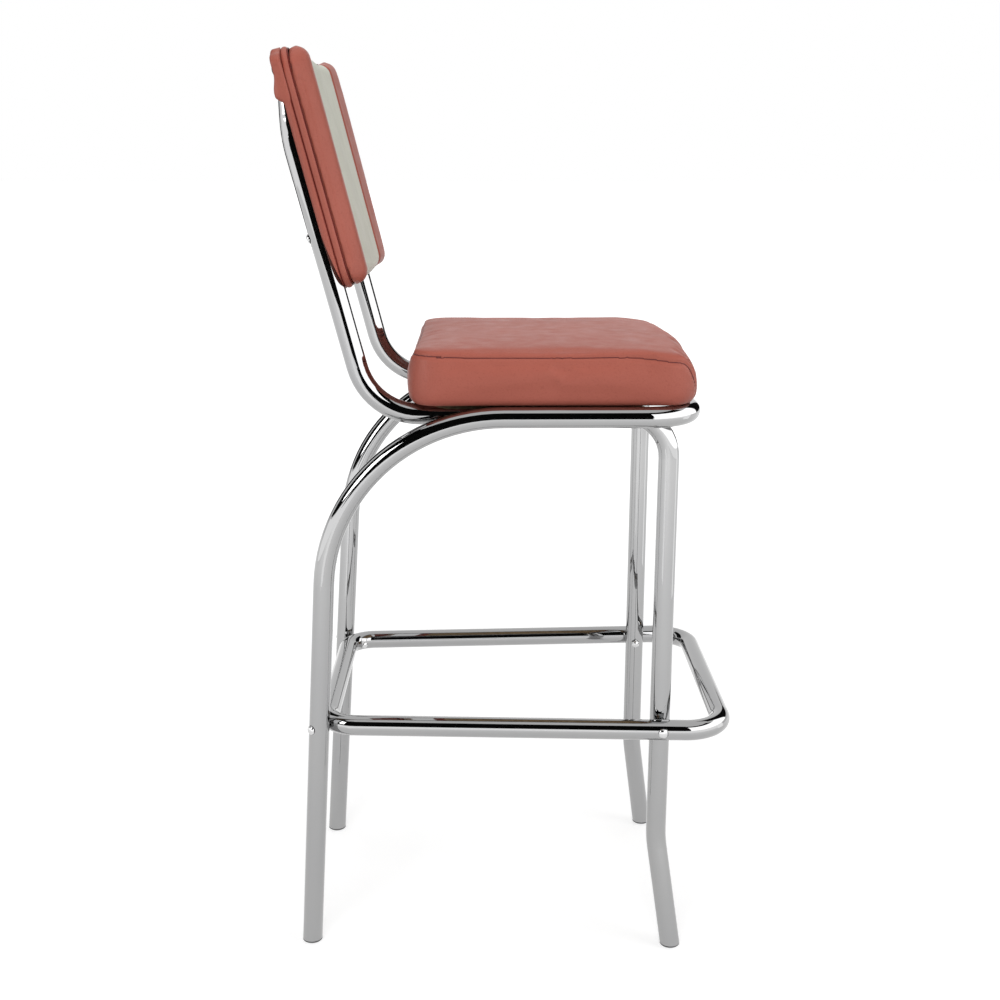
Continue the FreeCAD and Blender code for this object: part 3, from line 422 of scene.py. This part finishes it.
def seat_profile():
    """Inset and height from the bottom's inner edge round the belly to the top's inner edge."""
    turn = np.linspace(0.0, math.pi / 2, 7)
    low = np.column_stack([0.014 * (1 - np.sin(turn)), SEAT_LOW - 0.004 + 0.016 * (1 - np.cos(turn))])
    z = np.linspace(SEAT_LOW + 0.017, SEAT_LOW + 0.056, 12)
    side = np.column_stack([side_inset(z), z])
    top = np.column_stack([side_inset(z[-1]) + 0.008 * (1 - np.cos(turn[1:])),
                           z[-1] + 0.0065 * np.sin(turn[1:])])
    return np.vstack([low, side, top])


rings = []
for inset, z in seat_profile():
    ring = perimeter(SEAT_HALF - inset, SEAT_FRONT + inset, SEAT_REAR - inset,
                     SEAT_CORNER - min(inset, 0.02), SEAT_SAMPLES)
    rings.append(np.column_stack([ring, np.full(SEAT_SAMPLES, z)]))
centre = np.array([0.0, (SEAT_FRONT + SEAT_REAR) / 2])
edge = rings[-1]
for way in np.linspace(0.06, 0.96, 16):
    inner = centre + (edge[:, :2] - centre) * (1 - way)
    rise = edge[:, 2] + (SEAT_CROWN - edge[:, 2]) * (1 - (1 - way) ** 2)
    rings.append(np.column_stack([inner, rise]))
under = rings[0]
floor_rings = []
for way in np.linspace(0.96, 0.1, 8):
    inner = centre + (under[:, :2] - centre) * (1 - way)
    floor_rings.append(np.column_stack([inner, np.full(SEAT_SAMPLES, SEAT_FLOOR)]))
stack = np.array(floor_rings + rings)
stack[:, :, 2] = np.minimum(stack[:, :, 2], seat_fall(stack[:, :, 0], stack[:, :, 1]))
# the front edge bows forward a little between its corners
BOW_FROM, BOW_REACH = 0.03, 0.007
forward = np.clip((BOW_FROM - stack[:, :, 1]) / (BOW_FROM - SEAT_FRONT), 0.0, 1.0)
stack[:, :, 1] -= BOW_REACH * (forward ** 2 * (1 - (stack[:, :, 0] / SEAT_HALF) ** 2))
seat_cover = shell("seat_cushion_cover", stack, [*centre, SEAT_FLOOR], [*centre, SEAT_CROWN])
stuff(seat_cover, 0.0045, 3.5, 0.0035)
# underneath it lies flat on the rails, and higher inside the board's outline, where the board is let in
LIP, LET_IN, CLEAR = 0.001, 0.0018, 0.0001
resting = points_of(seat_cover)
board_low, board_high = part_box("seat_board")
over_board = ((np.abs(resting[:, 0]) < board_high[0] - LIP) & (resting[:, 1] > board_low[1] + LIP)
              & (resting[:, 1] < board_high[1] - LIP))
resting[:, 2] = np.maximum(resting[:, 2], board_low[2] + np.where(over_board, LET_IN, CLEAR))
set_points(seat_cover, resting)


def seat_seam_line(side):
    """Sewn line of one half: along the rear and the side below the top edge, then down the front corner."""
    inset = 0.0068
    r = SEAT_CORNER
    y_side = np.linspace(SEAT_REAR - r, SEAT_FRONT + 0.001, 260)
    z_side = np.minimum(seat_fall(SEAT_HALF, y_side) - 0.0055, SEAM_HEIGHT)
    shrink = side_inset(z_side)
    past = np.clip(SEAT_FRONT + shrink + r - y_side, 0.0, r - 0.0005)
    x_side = SEAT_HALF - shrink - r + np.sqrt(r ** 2 - past ** 2)
    turn = np.linspace(math.pi / 2, 0.0, 40)
    turn_x, turn_y = SEAT_HALF - inset - r, SEAT_REAR - inset - r
    corner = np.column_stack([turn_x + r * np.cos(turn), turn_y + r * np.sin(turn), np.full(40, SEAM_HEIGHT)])
    rear = np.column_stack([np.linspace(0.0, turn_x, 100, endpoint=False),
                            np.full(100, SEAT_REAR - inset), np.full(100, SEAM_HEIGHT)])
    flank = np.column_stack([x_side, y_side, z_side])
    drop = np.column_stack([np.full(12, x_side[-1]), np.full(12, y_side[-1]),
                            np.linspace(z_side[-1] - 0.001, SEAT_LOW + 0.006, 12)])
    line = np.vstack([rear, corner, flank[1:], drop])
    return line * np.array([side, 1.0, 1.0])


whole_line = np.vstack([seat_seam_line(-1.0)[::-1], seat_seam_line(1.0)[1:]])
seat_seam_path = on_surface(seat_cover, whole_line)
sink_seam(seat_cover, seat_seam_path, 0.0016, 0.0024, 0.0004)
seat_seam = thread("seat_cushion_seam", on_surface(seat_cover, seat_seam_path, THREAD_LIFT), THREAD_RADIUS)
for piece, mat in ((seat_cover, red_vinyl), (seat_seam, seam_thread)):
    piece.data.materials.clear()
    piece.data.materials.append(mat)
    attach(piece, "root")
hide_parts("seat_cushion")


# Back panel behind the posts
# Thin foam in red vinyl over the board's rear, with channels for the two posts. It thins toward
# the bottom and closes over the pressed tops of the tubes.

RECLINE = math.radians(14.35)
UP = np.array([0.0, math.sin(RECLINE), math.cos(RECLINE)])
FORE = np.array([0.0, -math.cos(RECLINE), math.sin(RECLINE)])
BACK_AT = np.array([0.0, 0.21084, 0.850])
BACK_HALF, BACK_LOW, BACK_HIGH, BACK_DIP = 0.1765, -0.009, 0.265, 0.010
BACK_MIDDLE = np.array([0.0, (BACK_LOW + BACK_HIGH) / 2])
TOP_TURN, LOW_TURN = 0.036, 0.028
TUBE, TUBE_GAP = 0.0127, 0.0005
POST_X, POST_SPLAY, POST_FROM = 0.155, math.radians(0.7), 0.153
BOARD_FACE, PANEL_FACE = 0.0119, 0.0121
COVER_RISE = 0.004
REAR_DEPTH, THIN_DEPTH, THIN_FROM = 0.0018, 0.0112, 0.074


def back_outline(inset):
    """Back outline drawn in by an inset: low corners, sides, top corners and a top edge that dips to the
    middle."""
    cx, cz = BACK_HALF - TOP_TURN, BACK_HIGH - TOP_TURN
    big = (cx ** 2 + BACK_DIP ** 2) / (2 * BACK_DIP)
    lean = math.asin(cx / big)
    dip_r, dip_z = big - TOP_TURN + inset, BACK_HIGH - BACK_DIP + big - TOP_TURN
    top_r, low_r = max(TOP_TURN - inset, 0.001), max(LOW_TURN - inset, 0.001)
    top_x, low_x = BACK_HALF - inset - top_r, BACK_HALF - inset - low_r
    low = BACK_LOW + inset
    low_angle = np.linspace(-math.pi / 2, 0.0, 22, endpoint=False)
    side = np.linspace(0.0, 1.0, 120, endpoint=False)
    top_angle = np.linspace(0.0, math.pi / 2 + lean, 26, endpoint=False)
    dip_angle = np.linspace(lean, 0.0, 40, endpoint=False)
    corner_low = np.column_stack([low_x + low_r * np.cos(low_angle), low + low_r + low_r * np.sin(low_angle)])
    flank = np.column_stack([np.full(120, BACK_HALF - inset), (low + low_r) * (1 - side) + cz * side])
    corner_top = np.column_stack([top_x + top_r * np.cos(top_angle), cz + top_r * np.sin(top_angle)])
    dip = np.column_stack([dip_r * np.sin(dip_angle), dip_z - dip_r * np.cos(dip_angle)])
    base = np.column_stack([np.linspace(0.0, low_x, 44, endpoint=False), np.full(44, low)])
    half = np.vstack([base, corner_low, flank, corner_top, dip, [[0.0, dip_z - dip_r]]])
    other = half[-2:0:-1] * np.array([-1.0, 1.0])
    return np.vstack([half, other])


def part_way(gone, length):
    """Share of a length that is gone, held between 0 and 1."""
    return np.clip(gone / length, 0.0, 1.0)


def eased(way):
    """Smooth step: a share from 0 to 1 that starts and ends gently."""
    return way * way * (3 - 2 * way)


def on_back(x, level, depth):
    """Place of points given across, up the posts, and forward of them; the covers stand a little over the
    board's top."""
    level = level + COVER_RISE * part_way(level - 0.12, 0.14)
    across = np.multiply.outer(x, np.array([1.0, 0.0, 0.0]))
    return BACK_AT + across + np.multiply.outer(level, UP) + np.multiply.outer(depth, FORE)


def on_face(flat, depth):
    """Flat points placed on the back, at one depth or at a depth that is a function of place."""
    x, level = flat[:, 0], flat[:, 1]
    return on_back(x, level, depth(x, level) if callable(depth) else np.full(len(flat), depth))


def face_rings(outline, ways, depth):
    """Rings drawn together from an outline toward the back's middle by each share, and the middle point."""
    rings = [on_face(BACK_MIDDLE + (outline - BACK_MIDDLE) * (1 - way), depth) for way in ways]
    return rings, on_face(BACK_MIDDLE[None, :], depth)[0]


def post_x(level):
    """Distance of a post's centre from the middle plane: the posts splay a little upward."""
    return POST_X + math.tan(POST_SPLAY) * (POST_FROM + level * math.cos(RECLINE))


def thinned(level, depth):
    """Depth of the rear face as it thins below: from a depth to nearly the board, as a power of the way."""
    return depth + (THIN_DEPTH - depth) * part_way(THIN_FROM - level, 0.070) ** 1.35


def panel_rear(x, level):
    """Depth of the rear face: crowned in the middle, thinned below, channelled round each post."""
    crown = REAR_DEPTH - 0.006 * (1 - (x / BACK_HALF) ** 2) * part_way(BACK_HIGH - 0.020 - level, 0.07)
    base = thinned(level, crown)
    away = np.abs(np.abs(x) - post_x(level))
    groove = np.sqrt(np.maximum((TUBE + TUBE_GAP) ** 2 - away ** 2, 0.0))
    closing = eased(part_way(level - 0.214, 0.016))
    swell = -0.0025 * closing * np.exp(-(away / 0.014) ** 2) * part_way(BACK_HIGH - 0.008 - level, 0.01)
    channelled = np.maximum(base, np.where(away < TUBE + TUBE_GAP, groove, -1.0))
    return np.minimum(channelled * (1 - closing) + (base + swell) * closing, BOARD_FACE)


def post_cover(level):
    """Depth of the cover over a post's end: full where the round tube goes in, thin over its pressed flat."""
    return 0.0012 - 0.0052 * (1 - eased(part_way(level - 0.216, 0.021)))


FLAT_WAYS = np.linspace(0.95, 0.08, 6)
ACROSS_UP, UP_FORE = np.column_stack([[1.0, 0.0, 0.0], UP]), np.column_stack([UP, FORE])
PLAIN_END, SCREW_X, SCREW_LEVEL = 0.2640, 0.1598, 0.2446

turn = np.linspace(0.0, math.pi / 2, 8)
panel_edge_in = np.concatenate([[0.0035, 0.0012, 0.0002], 0.0002 + 0.0068 * (1 - np.cos(turn[1:]))])
panel_edge_at = np.concatenate([[PANEL_FACE, 0.0112, 0.0095], 0.0090 - 0.0062 * np.sin(turn[1:])])
front_face, front_pole = face_rings(back_outline(panel_edge_in[0]), FLAT_WAYS, PANEL_FACE)
rear_face = [on_face(back_outline(inset), depth) for inset, depth in zip(panel_edge_in, panel_edge_at)]
inner_insets = np.arange(0.0078, 0.0345, 0.0011)
for step, inset in enumerate(inner_insets):
    blend = min(1.0, (step + 1) / 4)
    ring = back_outline(inset)
    depth = panel_edge_at[-1] * (1 - blend) + panel_rear(ring[:, 0], ring[:, 1]) * blend
    rear_face.append(on_back(ring[:, 0], ring[:, 1], depth))
middle_rings, rear_pole = face_rings(back_outline(inner_insets[-1]), np.linspace(0.05, 0.97, 26), panel_rear)
rear_face = np.array(rear_face + middle_rings)

# where a pressed post end lies under the cover, the cover is fuller and wraps round the end
wrap_in = np.concatenate([[0.0020, 0.0001, 0.0], 0.0036 * (1 - np.cos(turn[1:]))])
wrap_at = np.concatenate([[0.0128, 0.0127, 0.0090], np.full(7, 0.0045)])
wrap_sine = np.concatenate([[0.0, 0.0, 0.0], np.sin(turn[1:])])
wrapped = rear_face.copy()
for index, (inset, depth, sine) in enumerate(zip(wrap_in, wrap_at, wrap_sine)):
    ring = back_outline(inset)
    wrapped[index] = on_back(ring[:, 0], ring[:, 1], depth - (depth - post_cover(ring[:, 1])) * sine)
flat = (rear_face - BACK_AT) @ ACROSS_UP
inside = flat[len(wrap_in):]
wrapped[len(wrap_in):] = on_back(inside[:, :, 0], inside[:, :, 1], post_cover(inside[:, :, 1]))
# the pressed end is square, so the cover's round corner is let out over it
across, level = wrapped[:, :, 0], (wrapped - BACK_AT) @ UP
over_turn = np.maximum(level - BACK_HIGH + TOP_TURN, 0.0)
corner = BACK_HALF - TOP_TURN + np.sqrt(np.maximum(TOP_TURN ** 2 - over_turn ** 2, 0.0))
let_out = np.clip(BACK_HALF + 0.0002 - corner, 0.0, 0.0085) * part_way(PLAIN_END - level, 0.005)
wrapped[:, :, 0] += np.sign(across) * let_out * part_way(np.abs(across) - 0.150, 0.014)
above = part_way(flat[:, :, 1] - 0.206, 0.010)
beside = part_way(np.abs(np.abs(flat[:, :, 0]) - post_x(flat[:, :, 1])) - 0.0175, 0.010)
hold = eased(above) * (1 - eased(beside))
rear_face = rear_face * (1 - hold[:, :, None]) + wrapped * hold[:, :, None]
# the cover is drawn in under each top screw's head
level = (rear_face - BACK_AT) @ UP
from_screw = np.hypot(np.abs(rear_face[:, :, 0]) - SCREW_X, level - SCREW_LEVEL)
drawn = part_way(0.0120 - from_screw, 0.0035)
shallow = np.maximum(REAR_DEPTH - (rear_face - BACK_AT) @ FORE, 0.0)
rear_face = rear_face + (drawn * shallow)[:, :, None] * FORE
stack = np.array(front_face + list(rear_face))
# the lower edge of the panel lies close to the board, so its edge profile is pressed forward there
local = (stack - BACK_AT) @ UP_FORE
short = np.maximum(thinned(local[:, :, 0], REAR_DEPTH) - local[:, :, 1], 0.0) * (local[:, :, 0] < THIN_FROM)
stack = stack + short[:, :, None] * FORE
panel_cover = shell("back_panel_cover", stack[:, ::-1], front_pole, rear_pole)
rear_vinyl = vinyl("rear_vinyl", RED_DEEP, RED_LIGHT)
panel_cover.data.materials.append(rear_vinyl)
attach(panel_cover, "root")
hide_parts("back_panel_rear")


# Back band
# Strip of padded vinyl wrapped round the edge of the back board, between two deep grooves. A dark vinyl sheet
# round the board's edge is painted shade: it shows in the grooves as their shadow.

def hoop(name, edge_profile, smooth):
    """Closed ring round the back: an edge profile of (inset, depth) points carried along the outline."""
    sections = [on_face(back_outline(inset), depth) for inset, depth in edge_profile]
    grid = np.array(sections).transpose(1, 0, 2)
    count, samples, _ = grid.shape
    i = np.arange(count)[:, None] * samples
    after = (i + samples) % (count * samples)
    j = np.arange(samples)[None, :]
    k = (j + 1) % samples
    quads = np.stack([i + j, after + j, after + k, i + k], axis=-1).reshape(-1, 4)
    return new_object(name, grid.reshape(-1, 3).tolist(), quads.tolist(), smooth)


BAND_REAR, BAND_FRONT, BAND_ROUND = 0.0134, 0.0200, 0.0037
BAND_MIDDLE = 0.01670
SHADE_SHEET_REAR, SHADE_SHEET_FRONT = 0.0118, 0.0218

arc = np.linspace(-math.pi / 2, math.pi / 2, 13)
band_in = np.concatenate([0.0034 - 0.0030 * np.cos(arc), [0.0037, 0.0037]])
band_at = np.concatenate([BAND_MIDDLE + BAND_ROUND * np.sin(arc), [BAND_FRONT, BAND_REAR]])
band_cover = hoop("back_band_cover", zip(band_in, band_at), smooth=True)
band_cover.data.materials.append(red_vinyl)
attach(band_cover, "root")
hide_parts("back_band")

# painted shade: a dark sheet round the board's edge that shows in the two grooves as their shadow
shade_sheet_profile = ((0.0028, SHADE_SHEET_REAR), (0.0024, 0.0124), (0.0024, 0.0212),
                (0.0028, SHADE_SHEET_FRONT), (0.0040, SHADE_SHEET_FRONT), (0.0040, SHADE_SHEET_REAR))
groove_shade_sheet = hoop("back_groove_shade_sheet", shade_sheet_profile, smooth=False)
groove_shade_vinyl = vinyl("groove_shade_vinyl", (0.10, 0.012, 0.009), (0.14, 0.018, 0.013))
groove_shade_sheet.data.materials.append(groove_shade_vinyl)
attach(groove_shade_sheet, "root")


# Back front cushion
# Foam in vinyl with two fat side rolls and a pale centre stripe, sewn along two straight seams.

STRIPE, CREST = 0.103, 0.1515
PALE_DEEP, PALE_LIGHT = (0.54, 0.55, 0.46), (0.60, 0.61, 0.51)
SEAM_DEPTH, ROLL_RISE, STRIPE_RISE = 0.0345, 0.0057, 0.0022
CREST_DEPTH, FULL_FROM = 0.0402, 0.0208
CUSHION_REAR, CUSHION_FLAT = 0.0207, 0.0210
EDGE_RADIUS, EDGE_FROM = 0.0135, 0.0255


def cushion_front(x, level):
    """Depth of the front face: side rolls with a round crest, falling to the seams, and a slightly full
    stripe. It is a little fuller upward."""
    away = np.abs(x)
    outside = CREST_DEPTH - 0.0105 * (np.maximum(away - CREST, 0.0) / 0.0175) ** 2
    inside = SEAM_DEPTH + ROLL_RISE * part_way(away - STRIPE, CREST - STRIPE) ** 0.62
    roll = np.where(away > CREST, outside, inside)
    stripe = SEAM_DEPTH + STRIPE_RISE * (1 - part_way(away, STRIPE) ** 2.4)
    depth = np.where(away > STRIPE, roll, stripe)
    full = 1.0 + 0.05 * np.clip((level - 0.05) / 0.15, -0.6, 1.0)
    return FULL_FROM + (depth - FULL_FROM) * full


def cushion_edge(x, level, inset):
    """Depth limit near the outline: a quarter round that starts a little forward of the cushion's rear."""
    near = np.clip(1 - inset / EDGE_RADIUS, 0.0, 1.0)
    return EDGE_FROM + (cushion_front(x, level) - EDGE_FROM) * np.sqrt(np.maximum(1 - near ** 2, 0.0))


rings = [on_face(back_outline(inset), depth)
         for inset, depth in ((0.0030, CUSHION_FLAT), (0.0012, 0.0222), (0.0002, 0.0240))]
edge_insets = [0.0004, 0.001, 0.002, 0.0035, 0.005, 0.007, 0.0095, 0.0125, 0.0155]
for inset in np.concatenate([edge_insets, np.arange(0.019, 0.034, 0.003)]):
    ring = back_outline(inset)
    rings.append(on_back(ring[:, 0], ring[:, 1], cushion_edge(ring[:, 0], ring[:, 1], inset)))
middle_rings, front_pole = face_rings(back_outline(0.031), np.linspace(0.04, 0.97, 40), cushion_front)
rear_flat, rear_pole = face_rings(back_outline(0.0030), FLAT_WAYS, CUSHION_FLAT)
cushion_cover = shell("back_cushion_cover", np.array(rear_flat + rings + middle_rings), rear_pole, front_pole)
stuff(cushion_cover, 0.0042, 3.0, 0.0022)
# its rear lies flat against the board
resting = points_of(cushion_cover)
pressed = np.maximum(CUSHION_REAR - (resting - BACK_AT) @ FORE, 0.0)
set_points(cushion_cover, resting + pressed[:, None] * FORE)
seams = []
for side in (-1.0, 1.0):
    level = np.linspace(BACK_LOW + 0.004, BACK_HIGH - 0.0105, 260)
    line = on_back(np.full(260, side * STRIPE), level, cushion_front(np.full(260, STRIPE), level))
    line = on_surface(cushion_cover, line)
    line[:, 0] = side * STRIPE
    seams.append(line)
for line in seams:
    sink_seam(cushion_cover, line, 0.0022, 0.0026, 0.0004)
# two soft folds run down each side of the rolls, where the cover is pulled round to the board
for side in (-1.0, 1.0):
    for depth, deep in ((0.0270, 0.0012), (0.0325, 0.0009)):
        level = np.linspace(BACK_LOW + 0.030, BACK_HIGH - 0.040, 200)
        line = on_back(np.full(200, side * BACK_HALF), level, np.full(200, depth))
        sink_seam(cushion_cover, on_surface(cushion_cover, line), deep, 0.0020, 0.0003)
for name, line in zip(("back_seam_right", "back_seam_left"), seams):
    seam = thread(name, on_surface(cushion_cover, line, THREAD_LIFT), THREAD_RADIUS)
    seam.data.materials.append(seam_thread)
    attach(seam, "root")
striped_vinyl = vinyl("striped_vinyl", RED_DEEP, RED_LIGHT, (STRIPE, PALE_DEEP, PALE_LIGHT))
cushion_cover.data.materials.clear()
cushion_cover.data.materials.append(striped_vinyl)
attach(cushion_cover, "root")
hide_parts("back_cushion_front")


# Studio
# White floor and white surround, seen by the camera and in the plating alike, soft lamps, and dark and
# white cards round the object that only the plating mirrors.

FLOOR_REACH = 60.0
WHITE, BLACK = (1.0, 1.0, 1.0, 1.0), (0.01, 0.01, 0.01, 1.0)


def seen_white(tree):
    """One for camera, mirror and glass rays, which all see the white surround, and nought for the light
    that falls."""
    path = tree.nodes.new("ShaderNodeLightPath")
    value = path.outputs["Is Camera Ray"]
    for kind in ("Is Glossy Ray", "Is Transmission Ray"):
        value = calc(tree, "MAXIMUM", value, path.outputs[kind])
    return value


floor_corners = [(-FLOOR_REACH, -FLOOR_REACH, 0), (FLOOR_REACH, -FLOOR_REACH, 0),
                 (FLOOR_REACH, FLOOR_REACH, 0), (-FLOOR_REACH, FLOOR_REACH, 0)]
floor = new_object("studio_floor", floor_corners, [(0, 1, 2, 3)], smooth=False)
floor_mat, floor_tree, floor_shader, floor_place = new_material("studio_floor")
floor_shader.inputs["Base Color"].default_value = (0.6, 0.6, 0.6, 1.0)
floor_shader.inputs["Roughness"].default_value = 0.9
floor_shader.inputs["Specular IOR Level"].default_value = 0.0
reach = floor_tree.nodes.new("ShaderNodeVectorMath")
reach.operation = "LENGTH"
floor_tree.links.new(floor_place, reach.inputs[0])
# its own glow is weaker near the object, so that the shadow stays there
glow = spread(floor_tree, reach.outputs["Value"], 0.6, 3.0, 0.60, 1.0)
floor_shader.inputs["Emission Color"].default_value = WHITE
floor_tree.links.new(calc(floor_tree, "MULTIPLY", glow, seen_white(floor_tree)),
                     floor_shader.inputs["Emission Strength"])
floor.data.materials.append(floor_mat)

world = bpy.data.worlds.new("studio")
bpy.context.scene.world = world
world.use_nodes = True
sky = world.node_tree
sky.nodes.clear()
sky_out = sky.nodes.new("ShaderNodeOutputWorld")
sky_fill = sky.nodes.new("ShaderNodeBackground")
sky_fill.inputs["Color"].default_value = WHITE
sky_fill.inputs["Strength"].default_value = 0.38
sky_white = sky.nodes.new("ShaderNodeBackground")
sky_white.inputs["Color"].default_value = WHITE
sky_pick = sky.nodes.new("ShaderNodeMixShader")
sky.links.new(seen_white(sky), sky_pick.inputs["Fac"])
sky.links.new(sky_fill.outputs["Background"], sky_pick.inputs[1])
sky.links.new(sky_white.outputs["Background"], sky_pick.inputs[2])
sky.links.new(sky_pick.outputs["Shader"], sky_out.inputs["Surface"])


CARD_STEPS = 24


def card(name, start, end, low, high, radius, strength):
    """Reflector bent round the object, that only plating mirrors: part of an upright cylinder between two
    bearings in degrees and two heights. Strength 0 is a dark card."""
    bearing = np.radians(np.linspace(start, end, CARD_STEPS))
    way = np.column_stack([-radius * np.cos(bearing), -radius * np.sin(bearing)])
    verts = np.vstack([np.column_stack([way, np.full(CARD_STEPS, height)]) for height in (low, high)])
    step = np.arange(CARD_STEPS - 1)
    quads = np.column_stack([step, step + 1, step + CARD_STEPS + 1, step + CARD_STEPS])
    obj = new_object(name, verts.tolist(), quads.tolist(), smooth=False)
    mat, tree, shader, _ = new_material(name)
    shader.inputs["Base Color"].default_value = BLACK
    shader.inputs["Specular IOR Level"].default_value = 0.0
    shader.inputs["Emission Color"].default_value = WHITE
    shader.inputs["Emission Strength"].default_value = strength
    obj.data.materials.append(mat)
    obj.visible_camera = obj.visible_diffuse = obj.visible_shadow = False


card("card_dark_near", -42, 20, 0.60, 2.9, 1.63, 0.0)
card("card_dark_wide", -100, 100, 1.15, 6.6, 4.0, 0.0)
card("card_light_low", -100, 100, 0.0, 1.1, 4.1, 1.8)
card("card_white_front", 21, 116, 0.62, 1.9, 1.63, 2.9)
card("card_glint_rear", -33, -20, 0.0, 0.58, 1.62, 1.8)
card("card_glint_front", 80, 96, 0.0, 0.60, 1.62, 1.9)
card("card_white_rear", -66, -44, 0.90, 1.70, 1.63, 6.0)
card("card_dark_front", 118, 150, 0.62, 2.5, 1.63, 0.0)
card("card_dark_rear", -150, -118, 0.62, 2.5, 1.63, 0.0)

LAMP_AIM = Vector((0.0, 0.0, 0.6))


def lamp(name, at, width, height, power):
    """Rectangular soft lamp at a place, turned to face the object. The plating doesn't mirror it."""
    data = bpy.data.lights.new(name, "AREA")
    data.shape = "RECTANGLE"
    data.size = width
    data.size_y = height
    data.energy = power
    obj = bpy.data.objects.new(name, data)
    obj.location = at
    obj.rotation_euler = (LAMP_AIM - Vector(at)).to_track_quat("-Z", "Y").to_euler()
    obj.visible_glossy = False
    bpy.context.scene.collection.objects.link(obj)


lamp("fill_camera_side", (-3.4, 0.6, 2.2), 2.6, 2.0, 74)
lamp("fill_front", (-1.6, -3.2, 2.4), 2.0, 1.6, 30)
lamp("overhead", (0.3, 0.0, 3.2), 2.4, 1.6, 20)

camera = bpy.data.objects.new("camera", bpy.data.cameras.new("camera"))
camera.data.lens = 50.0
camera.data.sensor_width = 36.0
CAMERA_AT = Vector((-1.7846, 0.0349, 0.9922))
PITCH, YAW = math.radians(13.82), math.radians(-0.605)
ahead = Vector((math.cos(YAW) * math.cos(PITCH), math.sin(YAW) * math.cos(PITCH), -math.sin(PITCH)))
right = ahead.cross(Vector((0, 0, 1))).normalized()
over = right.cross(ahead)
camera.matrix_world = Matrix.Translation(CAMERA_AT) @ Matrix((right, over, -ahead)).transposed().to_4x4()
bpy.context.scene.collection.objects.link(camera)
bpy.context.scene.camera = camera
bpy.context.scene.view_settings.view_transform = "Standard"
